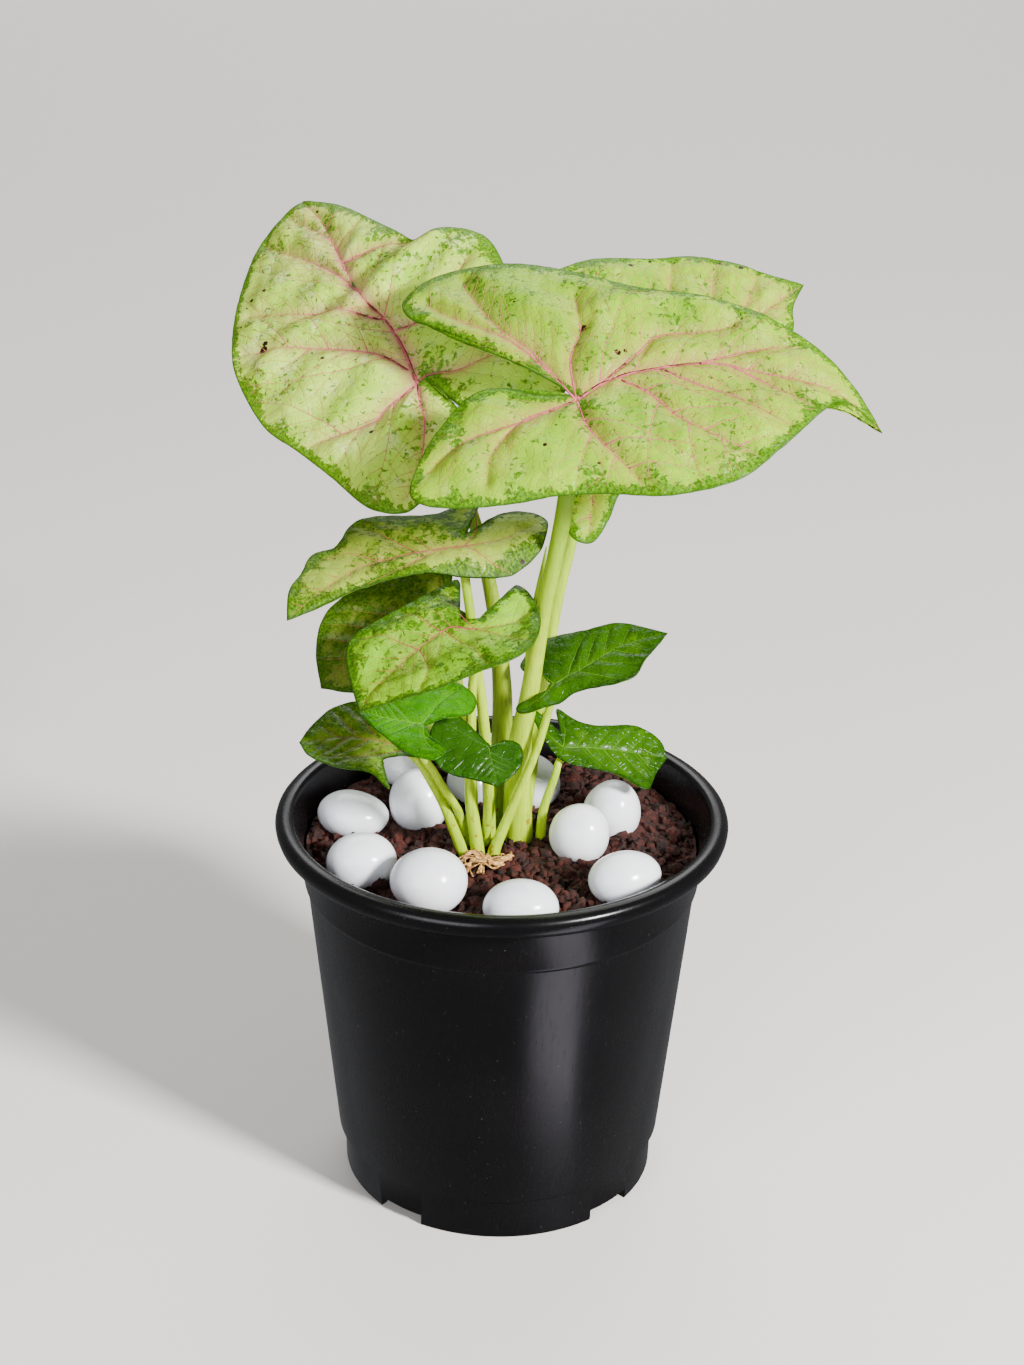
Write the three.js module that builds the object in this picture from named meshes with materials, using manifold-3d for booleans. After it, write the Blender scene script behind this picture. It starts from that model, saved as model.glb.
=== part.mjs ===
// A potted syngonium: eleven arrow-shaped leaves on long stalks, standing in a black nursery
// pot of soil topped with white pebbles. Millimetres, +Z up. The origin is the middle of the
// pot's underside, and the plant's front faces -Y.
import * as THREE from 'three';
import Module from 'manifold-3d';
import { mergeVertices } from 'three/addons/utils/BufferGeometryUtils.js';

const wasm = await Module();
wasm.setup();

// Driving dimensions
const RIM_RADIUS = 65;
const POT_HEIGHT = 115.8;
const WALL = 1.6;
const SOIL_TOP = 105;
const SOIL_BOTTOM = 7;
const GAP = 0.3;
const STALK_HOLE_GAP = 0.5;
const PEBBLE_HOLLOW_GAP = 0.34;
const BLADE_THICKNESS = 0.8;
const STALK_ROOT_Z = 93;

// Pot outline, outside, from the foot to the rim
const FOOT_RADIUS = 45.9;
const FOOT_STEP_Z = 13.2;
const FOOT_STEP_INNER = 46.4;
const FOOT_STEP_OUTER = 48.0;
const LEDGE_Z = 94.6;
const LEDGE_INNER = 56.2;
const LEDGE_OUTER = 56.9;
const COLLAR_RADIUS = 58.2;
const RIM_UNDERSIDE_Z = 108.4;
const RIM_INNER_RADIUS = 59.8;
const WELL_RADIUS = 26;
const CHANNEL_OUTER = 41;
const CHANNEL_HEIGHT = 4;
const DRAIN_COUNT = 8;
const DRAIN_RADIUS = 3;
// Where the foot's notches stand round the pot, in degrees from +X
const NOTCH_TURNS = [-128, -44, 52, 136];
const NOTCH_ANGLE = THREE.MathUtils.degToRad(19);
const NOTCH_HEIGHT = 3.4;
const NOTCH_DEPTH = 8;
const POT_SIDES = 48;

const HOLE_SIDES = 12;
const MERGE_REACH = 1e-4;

// Colours
const BLACK_PLASTIC = new THREE.MeshStandardMaterial({ color: 0x1d1a1b, roughness: 0.35 });
const BROWN_SOIL = new THREE.MeshStandardMaterial({ color: 0x43241b, roughness: 0.95 });
const WHITE_STONE = new THREE.MeshStandardMaterial({ color: 0xe9e9ea, roughness: 0.3 });
const PALE_LEAF = new THREE.MeshStandardMaterial({ color: 0xb4cf6e, roughness: 0.45 });
const GREEN_LEAF = new THREE.MeshStandardMaterial({ color: 0x6fa52c, roughness: 0.4 });
const DARK_LEAF = new THREE.MeshStandardMaterial({ color: 0x3d6b2c, roughness: 0.4 });
const DRY_STRAW = new THREE.MeshStandardMaterial({ color: 0xc9a36a, roughness: 0.9 });

const plant = new THREE.Group();

// Solids and booleans

function solidFrom(geometry) {
  const bare = geometry.clone();
  for (const name of Object.keys(bare.attributes)) {
    if (name !== 'position') bare.deleteAttribute(name);
  }
  const merged = mergeVertices(bare, MERGE_REACH);
  const mesh = new wasm.Mesh({
    numProp: 3,
    vertProperties: new Float32Array(merged.attributes.position.array),
    triVerts: new Uint32Array(merged.index.array),
  });
  return new wasm.Manifold(mesh);
}

function geometryFrom(solid) {
  const mesh = solid.getMesh();
  const geometry = new THREE.BufferGeometry();
  geometry.setAttribute('position', new THREE.BufferAttribute(mesh.vertProperties.slice(), 3));
  geometry.setIndex(new THREE.BufferAttribute(mesh.triVerts.slice(), 1));
  geometry.computeVertexNormals();
  return geometry;
}

function addMesh(name, geometry, material) {
  const mesh = new THREE.Mesh(geometry, material);
  mesh.name = name;
  plant.add(mesh);
  return mesh;
}

// A closed profile of [radius, height] pairs turned about the Z axis
function lathe(profile, sides) {
  const points = profile.map(([radius, height]) => new THREE.Vector2(radius, height));
  return new THREE.LatheGeometry(points, sides).rotateX(Math.PI / 2);
}

function cylinderAt(x, y, bottom, top, radius, sides) {
  const geometry = new THREE.CylinderGeometry(radius, radius, top - bottom, sides);
  return geometry.rotateX(Math.PI / 2).translate(x, y, (bottom + top) / 2);
}

// The pot

function makePot() {
  const channelTop = CHANNEL_HEIGHT + WALL;
  const outside = [
    [0, 0],
    [WELL_RADIUS, 0],
    [WELL_RADIUS + 1.5, CHANNEL_HEIGHT],
    [CHANNEL_OUTER, CHANNEL_HEIGHT],
    [FOOT_RADIUS - WALL - 0.6, 0],
    [FOOT_RADIUS, 0],
    [FOOT_STEP_INNER, FOOT_STEP_Z - 0.5],
    [FOOT_STEP_OUTER, FOOT_STEP_Z + 0.5],
    [LEDGE_INNER, LEDGE_Z],
    [LEDGE_OUTER, LEDGE_Z + 0.6],
    [COLLAR_RADIUS, RIM_UNDERSIDE_Z - 1],
    [COLLAR_RADIUS + 1.2, RIM_UNDERSIDE_Z],
    [RIM_RADIUS - 2.2, RIM_UNDERSIDE_Z + 1],
    [RIM_RADIUS - 0.6, RIM_UNDERSIDE_Z + 2],
    [RIM_RADIUS, RIM_UNDERSIDE_Z + 3.6],
    [RIM_RADIUS - 0.4, POT_HEIGHT - 1.7],
    [RIM_RADIUS - 1.5, POT_HEIGHT - 0.5],
    [RIM_RADIUS - 3, POT_HEIGHT],
    [RIM_INNER_RADIUS + 0.6, POT_HEIGHT - 0.3],
  ];
  const inside = [
    [RIM_INNER_RADIUS, POT_HEIGHT - 1.2],
    [COLLAR_RADIUS - WALL + 0.4, RIM_UNDERSIDE_Z],
    [LEDGE_INNER - WALL + 0.2, LEDGE_Z],
    [FOOT_STEP_OUTER - WALL - 0.1, FOOT_STEP_Z + 1],
    [FOOT_STEP_INNER - WALL, channelTop + 1.5],
    [CHANNEL_OUTER + 1, channelTop],
    [WELL_RADIUS + 0.5, channelTop],
    [WELL_RADIUS - 1, WALL],
    [0, WALL],
  ];
  let pot = solidFrom(lathe([...outside, ...inside], POT_SIDES));
  for (let i = 0; i < DRAIN_COUNT; i += 1) {
    const angle = (i / DRAIN_COUNT) * Math.PI * 2;
    const reach = (WELL_RADIUS + CHANNEL_OUTER) / 2;
    const x = reach * Math.cos(angle);
    const y = reach * Math.sin(angle);
    pot = pot.subtract(solidFrom(cylinderAt(x, y, 1, channelTop + 2, DRAIN_RADIUS, HOLE_SIDES)));
  }
  for (const turn of NOTCH_TURNS) {
    const width = 2 * FOOT_RADIUS * Math.sin(NOTCH_ANGLE / 2);
    const notch = new THREE.BoxGeometry(NOTCH_DEPTH, width, NOTCH_HEIGHT * 2);
    notch.translate(FOOT_RADIUS, 0, 0).rotateZ(THREE.MathUtils.degToRad(turn));
    pot = pot.subtract(solidFrom(notch));
  }
  addMesh('pot', geometryFrom(pot), BLACK_PLASTIC);
}

// Pebbles: place of the middle, half sizes, and the turn of the long side in degrees

const PEBBLES = [
  { at: [-43, 7, 110], half: [10.8, 8.6, 7], turn: -8 },
  { at: [-39.2, -22.6, 110.6], half: [10, 9, 8.8], turn: 15 },
  { at: [-20.2, -35.6, 111.5], half: [11.2, 9.8, 9.4], turn: 5 },
  { at: [5.6, -44.5, 108.4], half: [11, 8.6, 8], turn: 0 },
  { at: [34.6, -30, 110.2], half: [10.8, 8.4, 7.8], turn: 20 },
  { at: [22, -6.2, 111.3], half: [8.8, 8.4, 9.8], turn: 0 },
  { at: [31.8, 9.8, 110.6], half: [9, 8.2, 9.6], turn: 0 },
  { at: [9.2, 27.4, 110.8], half: [8.6, 8.2, 8.8], turn: 0 },
  { at: [-24, 12.4, 111.6], half: [9, 9, 10.4], turn: 0 },
  { at: [-30, 37, 110.5], half: [8.6, 7.6, 6.6], turn: 0 },
  { at: [-9, 27, 110.5], half: [8.2, 7.6, 7], turn: 30 },
  { at: [-3, 45.5, 110.5], half: [8.8, 7.4, 7], turn: 0 },
];
const PEBBLE_DETAIL = 2;
const PEBBLE_UNEVENNESS = 0.035;
const PEBBLE_SWELLS = 2.3;
const PEBBLE_PHASE_STEP = 1.7;

// A rounded pebble, each one a little flatter on another side. grow swells it for its hollow.
function pebbleGeometry({ at, half, turn }, number, grow) {
  const ball = new THREE.IcosahedronGeometry(1, PEBBLE_DETAIL);
  ball.deleteAttribute('normal').deleteAttribute('uv');
  const geometry = mergeVertices(ball, MERGE_REACH);
  const place = geometry.attributes.position;
  const point = new THREE.Vector3();
  for (let i = 0; i < place.count; i += 1) {
    point.fromBufferAttribute(place, i).normalize();
    const swell = 1 + Math.sin(PEBBLE_SWELLS * point.x + PEBBLE_PHASE_STEP * number);
    const bump = 1 - PEBBLE_UNEVENNESS * swell * (1 + point.z * Math.cos(number));
    place.setXYZ(
      i,
      point.x * (half[0] * bump + grow),
      point.y * (half[1] * bump + grow),
      point.z * (half[2] * bump + grow),
    );
  }
  return geometry.rotateZ(THREE.MathUtils.degToRad(turn)).translate(...at);
}

// Leaves
// at: where the stalk meets the blade. heading, rise and roll: the way the tip points, in
// degrees, and the turn about the midrib. edge: the outline in the blade's own plane, along
// the midrib and to its left, from the notch round the left side to the tip and back.
// heart: the point in the blade that sees its whole edge. stalk: the stalk's route, each
// point with the stalk's radius there.

// Every name tells where its leaf grows, as seen from the front
const LEAVES = [
  {
    name: 'leaf_back_left', material: PALE_LEAF, at: [-25, 22, 236],
    heading: 113, rise: 28, roll: -28, length: 91, halfWidth: 44,
    arch: 2, cup: [2, 2], fold: [0.05, 0.05], wave: 0.6,
    bends: [{ from: [36, 44], to: [52, -30], slope: 0.2, soft: 4 }],
    heart: [8, -0.3],
    edge: [[-0.5, -3], [-6, -4.8], [-11, -6.4], [-14, -7.3], [-21, -4.6], [-28, 0.5], [-34, 7],
      [-38, 13], [-38, 19], [-32, 26], [-17, 32], [-3, 38], [10, 44], [29, 46], [43, 44],
      [61, 38], [79, 28], [88, 17], [91, 9],
      [80, -1], [60, -11], [49, -17], [47, -26], [37, -35], [20, -36], [4, -37], [-8, -38],
      [-20, -38], [-27, -33], [-28, -25], [-24, -15.5], [-18.5, -10.7], [-14, -8.5], [-10, -6.9],
      [-6, -5.4]],
    stalk: [[-1.2, 7.6, 106, 3.2], [-0.6, 10, 124, 3.2], [-0.4, 11.5, 148, 2.8], [-3, 13.5, 172, 2.1],
      [-8, 16, 195, 1.9], [-16, 19, 217, 1.8]],
  },
  {
    name: 'leaf_front_right', material: PALE_LEAF, at: [18, -14, 244],
    heading: 0, rise: 10, roll: 28, length: 78, halfWidth: 43,
    arch: 9, cup: [2, 2], fold: [0.15, -0.06], wave: 0.5, lobeDrop: 2,
    bends: [
      { from: [-10, 28], to: [76, 26], slope: 0.2, soft: 4 },
      { from: [66, 20], to: [66, -20], slope: 0.6, soft: 2 },
    ],
    heart: [5, 0],
    edge: [[0, 1.5], [-8, 9], [-18, 18], [-30, 28], [-38, 36], [-43, 41], [-44, 49], [-36, 57], [-25, 58],
      [-12, 55], [5, 46], [22, 36], [40, 28], [55, 19], [66, 9], [73, 0], [78, -12],
      [72, -7], [67, -8], [60, -14], [50, -23], [38, -32], [20, -35], [0, -31], [-20, -30], [-34, -28],
      [-43, -25], [-46, -19], [-41, -7], [-35, 1], [-28, 7], [-20, 8], [-10, 3.5]],
    stalk: [[4.8, 1.5, 106, 4.3], [4.4, 0.6, 120, 4], [5, 0, 138, 3.2], [7, -1.5, 151, 2.7],
      [9, -3.5, 167, 2.4], [11, -6, 182, 2.2], [15, -10, 207, 2.3], [17, -12, 226, 2.2]],
  },
  {
    name: 'leaf_back_right', material: PALE_LEAF, at: [27, 34, 232],
    heading: 28, rise: 14, roll: 38, length: 74, halfWidth: 40,
    arch: 6, cup: [3, 3], fold: [-0.03, -0.03], wave: 0.5,
    heart: [5, 0],
    edge: [[0, 1], [-10, 9], [-20, 20], [-22, 30], [-10, 38], [4, 41], [20, 41], [37, 34], [48, 30],
      [58, 23], [66, 15], [75, 8],
      [67, 2], [60, -7], [40, -17], [18, -23], [0, -26.5], [-12, -30.5], [-19.5, -36.5], [-27, -40], [-31, -34],
      [-22, -19], [-9, -7]],
    stalk: [[6, 11.8, 106, 2.5], [8, 16, 122, 2.3], [10.4, 19.5, 142, 2.1], [12.9, 22, 159, 2],
      [15.4, 24, 174, 1.9], [18.8, 27, 189, 1.8], [22.6, 30.5, 211, 1.8]],
  },
  {
    name: 'leaf_middle_left', material: PALE_LEAF, at: [-11, -8, 200],
    heading: 190, rise: -6, roll: -14, length: 52, halfWidth: 25,
    arch: 2, cup: [4, 2], fold: [0.05, 0.05], wave: 0.5,
    bends: [{ from: [-18, 1], to: [26, 9], slope: 0.8, soft: 1.2 }],
    heart: [4, 0],
    edge: [[-1, -5], [-6, -8], [-12, -12], [-19, -12], [-24, -6], [-21, 3], [-15, 7.4], [-9, 9], [1, 9],
      [14, 8], [30, 10], [42, 13], [51, 15],
      [49, 6], [45, 0], [41, -8], [34, -10], [29, -18], [22, -20], [8, -17], [-2, -20], [-8, -21],
      [-7, -17], [-4, -11]],
    stalk: [[-3.4, 1.8, 106, 1.8], [-4, -1.5, 123, 1.7], [-5, -4, 140, 1.6], [-6.5, -6, 156, 1.5],
      [-8.4, -7.4, 170, 1.4], [-9.4, -7.8, 180, 1.35], [-11, -8, 192, 1.3]],
  },
  {
    name: 'leaf_middle_front', material: PALE_LEAF, at: [-8, -14, 178],
    heading: 205, rise: -16, roll: -8, length: 41, halfWidth: 21,
    arch: 3, cup: [0, 0], fold: [0.15, 0.15], wave: 0.3,
    heart: [5, 0],
    edge: [[1.5, -5.5], [-4, -3], [-9, -5.5], [-14, -7], [-18, -9], [-19, -2], [-16, 9], [-10, 18], [-2, 22],
      [9, 21], [20, 19], [30, 14], [40, 9],
      [37, -3], [33, -14], [27, -19], [12, -20], [2, -20], [-5, -20], [-3, -15], [-0.5, -10]],
    stalk: [[-6.7, -8.8, 106, 2], [-9, -10, 126, 1.7], [-9, -11, 143, 1.5], [-8.7, -11.2, 158, 1.3],
      [-8, -13, 169, 1.3]],
  },
  {
    name: 'leaf_behind_left', material: DARK_LEAF, at: [-20, 8, 175],
    heading: 195, rise: -20, roll: -30, length: 38, halfWidth: 20,
    arch: 3, cup: [0, 0], fold: [0.1, 0.1], wave: 0.4,
    heart: [6, 0],
    edge: [[-1, -1], [-6, 4], [-8, 10], [-4, 16], [5, 19], [17, 19], [29, 16], [38, 8],
      [35, -4], [28, -13], [15, -16], [3, -15], [-6, -13], [-9, -8], [-6, -3]],
    stalk: [[-8.6, 3.6, 106, 1.8], [-9, 5, 122, 1.7], [-11, 8, 140, 1.5], [-14, 9, 156, 1.4],
      [-18, 8.5, 167, 1.3]],
  },
  {
    name: 'leaf_low_left', material: GREEN_LEAF, at: [-23, -16, 140],
    heading: 178, rise: 6, roll: -18, length: 34, halfWidth: 17,
    arch: 2, cup: [0, 0], fold: [0.1, 0.1], wave: 0.2,
    heart: [12, -4],
    edge: [[0, 0], [6, 1], [10, 4], [7, 15], [13, 9], [22, 8], [30, 4], [34, -2],
      [31, -9], [25, -16], [14, -19], [2, -16], [-5, -12], [-4, -5]],
    stalk: [[-11.1, -9.2, 106, 1.7], [-14, -11, 116, 1.5], [-17, -13, 125, 1.3], [-21, -15, 134, 1.2]],
  },
  {
    name: 'leaf_low_bright', material: GREEN_LEAF, at: [-22, -28, 156],
    heading: 190, rise: 0, roll: -14, length: 17, halfWidth: 16,
    arch: 1, cup: [0, 0], fold: [0.05, 0.05], wave: 0.2,
    heart: [3, -2],
    edge: [[-1, 1], [-2, 8], [-5, 12], [-1, 16], [6, 12], [11, 4], [17, -8],
      [10, -15], [0, -17], [-10, -17], [-16, -10], [-14, -3], [-7, -2]],
    stalk: [[-9.9, -4.2, 106, 1.4], [-11.8, -8.4, 117, 1.3], [-13, -12.8, 123, 1.2],
      [-15.8, -17.4, 130, 1.2], [-19, -21, 138, 1.1], [-21.8, -24.5, 144.5, 1.1], [-22.3, -27, 150, 1]],
  },
  {
    name: 'leaf_low_heart', material: DARK_LEAF, at: [-4, -21.5, 146],
    heading: 275, rise: -35, roll: 0, length: 12, halfWidth: 12,
    arch: 1, cup: [0, 0], fold: [0.05, 0.05], wave: 0.2,
    heart: [3, -2],
    edge: [[0, 1], [-2, 5], [0, 9], [5, 9], [9, 6], [12, 2],
      [10, -4], [8, -11], [4, -15], [-4, -16], [-9, -13], [-10, -8], [-5, -3]],
    stalk: [[-4.6, -3.8, 106, 1.4], [-4.2, -7.5, 115, 1.3], [-4, -12, 124, 1.2], [-4, -17, 135.5, 1.1]],
  },
  {
    name: 'leaf_low_right', material: GREEN_LEAF, at: [14, -3, 157],
    heading: 8, rise: 20, roll: 16, length: 35, halfWidth: 15,
    arch: 1, cup: [0, 0], fold: [0.1, 0.1], wave: 0.2,
    heart: [4, 0],
    edge: [[-1, 1], [-3, 5.5], [-7, 9], [-6, 13], [1, 17], [14, 15], [24, 13], [35, 4],
      [28, -2], [20, -8], [12, -6], [4, -5], [-4, -8], [-11, -8], [-12, -4], [-6, -2.5], [-3, -1.5]],
    stalk: [[-2.2, -8.2, 106, 1.8], [1, -7.4, 115, 1.5], [6, -6.6, 128, 1.3], [10, -5, 139, 1.2],
      [13, -3.6, 150, 1.1]],
  },
  {
    name: 'leaf_lowest_right', material: GREEN_LEAF, at: [17, 2, 132],
    heading: 5, rise: -16, roll: 30, length: 32, halfWidth: 15,
    arch: 2, cup: [0, 0], fold: [0.1, 0.1], wave: 0.2,
    heart: [4, 3],
    edge: [[-0.5, 5], [-2, 10], [-3, 15], [3, 13], [10, 13], [21, 16], [29, 14], [32, 9], [29, 3], [26, -4],
      [18, -1.5], [8, -2], [0, -1.5], [-6, 4], [-11, 13], [-5, 10]],
    stalk: [[11.2, 0.8, 106, 1.5], [12, 0.6, 116, 1.3], [15, 1, 126, 1.1]],
  },
];
const LARGE_RINGS = [0.3, 0.6, 0.84, 1];
const SMALL_RINGS = [0.36, 0.72, 1];
const SMALL_LENGTH = 45;
const EDGE_SAMPLES = 2;
const EDGE_TENSION = 0.5;
const RIPPLE_STEP = 0.75;
const STALK_SIDES = 8;
const STALK_STEPS = 14;
const MIDRIB_RUN = 5;
const MIDRIB_RADIUS = 0.8;

// How far the blade stands off its own flat plane at [along, across]. It arches down towards
// the tip, each half is folded up and cupped down, and it bends down beyond a soft crease line.
function bladeHeight(leaf, along, across) {
  const s = along / leaf.length;
  const t = across / leaf.halfWidth;
  const side = across >= 0 ? 0 : 1;
  const soft = 0.12 * leaf.halfWidth;
  let height = s > 0 ? -leaf.arch * s * s : -(leaf.lobeDrop ?? 0) * 4 * s * s;
  height += leaf.fold[side] * (Math.hypot(across, soft) - soft);
  height -= leaf.cup[side] * t * t;
  for (const { from, to, slope, soft: width } of leaf.bends ?? []) {
    const run = Math.hypot(to[0] - from[0], to[1] - from[1]);
    const reach = [along - from[0], across - from[1]];
    const beyond = ((to[0] - from[0]) * reach[1] - (to[1] - from[1]) * reach[0]) / run;
    height -= slope * width * Math.log(1 + Math.exp(beyond / width));
  }
  return height;
}

function bladeFrame(leaf) {
  const heading = THREE.MathUtils.degToRad(leaf.heading);
  const rise = THREE.MathUtils.degToRad(leaf.rise);
  const roll = THREE.MathUtils.degToRad(leaf.roll);
  const tip = new THREE.Vector3(
    Math.cos(heading) * Math.cos(rise),
    Math.sin(heading) * Math.cos(rise),
    Math.sin(rise),
  );
  const left = new THREE.Vector3(-Math.sin(heading), Math.cos(heading), 0);
  left.applyAxisAngle(tip, roll);
  const up = new THREE.Vector3().crossVectors(tip, left);
  return { tip, left, up, at: new THREE.Vector3(...leaf.at) };
}

function bladePoint(leaf, frame, along, across, off) {
  const height = bladeHeight(leaf, along, across);
  return frame.at.clone()
    .addScaledVector(frame.tip, along)
    .addScaledVector(frame.left, across)
    .addScaledVector(frame.up, height + off);
}

// The edge as a closed smooth line, with a sharp notch and tip
function bladeEdge(leaf) {
  const reach = leaf.edge.map(([along]) => along);
  const tipIndex = reach.indexOf(Math.max(...reach));
  const points = leaf.edge.map(([along, across]) => new THREE.Vector3(along, across, 0));
  const smooth = (stretch) => new THREE.CatmullRomCurve3(stretch, false, 'catmullrom', EDGE_TENSION);
  const leftSide = smooth(points.slice(0, tipIndex + 1));
  const rightSide = smooth([...points.slice(tipIndex), points[0]]);
  const left = leftSide.getPoints(tipIndex * EDGE_SAMPLES);
  const right = rightSide.getPoints((points.length - tipIndex) * EDGE_SAMPLES);
  return [...left.slice(0, -1), ...right.slice(0, -1)];
}

// Both faces of the blade are split into triangles alike
function bladeSolid(leaf) {
  const frame = bladeFrame(leaf);
  const edge = bladeEdge(leaf);
  const count = edge.length;
  const rings = leaf.length > SMALL_LENGTH ? LARGE_RINGS : SMALL_RINGS;
  const [heartAlong, heartAcross] = leaf.heart;
  const place = [];
  const index = [];
  const layers = [BLADE_THICKNESS / 2, -BLADE_THICKNESS / 2];
  for (const off of layers) {
    place.push(...bladePoint(leaf, frame, heartAlong, heartAcross, off).toArray());
    for (const share of rings) {
      edge.forEach((point, i) => {
        const along = THREE.MathUtils.lerp(heartAlong, point.x, share);
        const across = THREE.MathUtils.lerp(heartAcross, point.y, share);
        const ripple = leaf.wave * share * share * Math.sin(i * RIPPLE_STEP);
        place.push(...bladePoint(leaf, frame, along, across, off + ripple).toArray());
      });
    }
  }
  const perLayer = 1 + rings.length * count;
  const vertex = (layer, ring, i) => layer * perLayer + 1 + ring * count + (i % count);
  for (const layer of [0, 1]) {
    const face = (a, b, c) => (layer === 0 ? index.push(a, c, b) : index.push(a, b, c));
    for (let i = 0; i < count; i += 1) {
      face(layer * perLayer, vertex(layer, 0, i), vertex(layer, 0, i + 1));
      for (let ring = 0; ring < rings.length - 1; ring += 1) {
        face(vertex(layer, ring, i), vertex(layer, ring + 1, i), vertex(layer, ring + 1, i + 1));
        face(vertex(layer, ring, i), vertex(layer, ring + 1, i + 1), vertex(layer, ring, i + 1));
      }
    }
  }
  const last = rings.length - 1;
  for (let i = 0; i < count; i += 1) {
    index.push(vertex(0, last, i), vertex(0, last, i + 1), vertex(1, last, i));
    index.push(vertex(1, last, i), vertex(0, last, i + 1), vertex(1, last, i + 1));
  }
  const geometry = new THREE.BufferGeometry();
  geometry.setAttribute('position', new THREE.Float32BufferAttribute(place, 3));
  geometry.setIndex(index);
  return solidFrom(geometry);
}

// A closed tube through points, each with its own radius
function tube(points, radii, sides, steps) {
  const curve = new THREE.CatmullRomCurve3(points, false, 'centripetal');
  const frames = curve.computeFrenetFrames(steps, false);
  const place = [];
  const index = [];
  for (let step = 0; step <= steps; step += 1) {
    const share = step / steps;
    const middle = curve.getPointAt(share);
    const slot = curve.getUtoTmapping(share) * (radii.length - 1);
    const low = Math.min(Math.floor(slot), radii.length - 2);
    const radius = THREE.MathUtils.lerp(radii[low], radii[low + 1], slot - low);
    for (let side = 0; side < sides; side += 1) {
      const angle = (side / sides) * Math.PI * 2;
      const point = middle.clone()
        .addScaledVector(frames.normals[step], Math.cos(angle) * radius)
        .addScaledVector(frames.binormals[step], Math.sin(angle) * radius);
      place.push(...point.toArray());
    }
  }
  const startCap = place.length / 3;
  place.push(...points[0].toArray(), ...points[points.length - 1].toArray());
  for (let step = 0; step < steps; step += 1) {
    for (let side = 0; side < sides; side += 1) {
      const a = step * sides + side;
      const b = step * sides + ((side + 1) % sides);
      index.push(a, b, a + sides, b, b + sides, a + sides);
    }
  }
  for (let side = 0; side < sides; side += 1) {
    const next = (side + 1) % sides;
    index.push(startCap, next, side);
    index.push(startCap + 1, steps * sides + side, steps * sides + next);
  }
  const geometry = new THREE.BufferGeometry();
  geometry.setAttribute('position', new THREE.Float32BufferAttribute(place, 3));
  geometry.setIndex(index);
  return geometry;
}

// The stalk stands upright in the soil, rises to the blade and runs on under its midrib
function stalkSolid(leaf) {
  const frame = bladeFrame(leaf);
  const [x, y, , rootRadius] = leaf.stalk[0];
  const topRadius = leaf.stalk[leaf.stalk.length - 1][3];
  const points = [
    new THREE.Vector3(x, y, STALK_ROOT_Z),
    new THREE.Vector3(x, y, STALK_ROOT_Z + 6),
  ];
  const radii = [rootRadius, rootRadius];
  for (const [px, py, pz, radius] of leaf.stalk) {
    points.push(new THREE.Vector3(px, py, pz));
    radii.push(radius);
  }
  const below = (along, drop) => frame.at.clone()
    .addScaledVector(frame.tip, along)
    .addScaledVector(frame.up, -drop);
  points.push(below(0, topRadius + 0.2), below(MIDRIB_RUN, MIDRIB_RADIUS - 0.1));
  radii.push(topRadius, MIDRIB_RADIUS);
  return solidFrom(tube(points, radii, STALK_SIDES, STALK_STEPS));
}

// The free end of the sheath that wraps the tallest stalk stands off it as a thin point
const SHEATH_TIP = {
  leaf: 'leaf_front_right',
  route: [[7.6, -2, 156], [7.4, -1.8, 168], [9, -2.2, 183], [11.2, -2.6, 198]],
  radii: [1.6, 1.5, 1.1, 0.35],
  sides: 6,
  steps: 8,
};

function makeLeaves() {
  for (const leaf of LEAVES) {
    let whole = bladeSolid(leaf).add(stalkSolid(leaf));
    if (leaf.name === SHEATH_TIP.leaf) {
      const route = SHEATH_TIP.route.map((point) => new THREE.Vector3(...point));
      whole = whole.add(solidFrom(tube(route, SHEATH_TIP.radii, SHEATH_TIP.sides, SHEATH_TIP.steps)));
    }
    addMesh(leaf.name, geometryFrom(whole), leaf.material);
  }
}

// Soil, with a crumbled top, a plain hole for each stalk and a hollow for each pebble

const SOIL_RINGS = [8, 16, 24, 32, 40, 48, 54];
const SOIL_SIDES = 30;
const SOIL_LUMP = 0.7;
const STALK_GROUND = [10, 22];

// The soil is flat where the stalks stand and lumpy beyond
function soilHeight(x, y) {
  const broad = Math.sin(0.42 * x + 1) * Math.cos(0.37 * y);
  const fine = 0.6 * Math.sin(0.91 * x - 0.63 * y + 2);
  const beyondStalks = THREE.MathUtils.smoothstep(Math.hypot(x, y), ...STALK_GROUND);
  return SOIL_TOP + SOIL_LUMP * (broad + fine) * beyondStalks;
}

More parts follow.
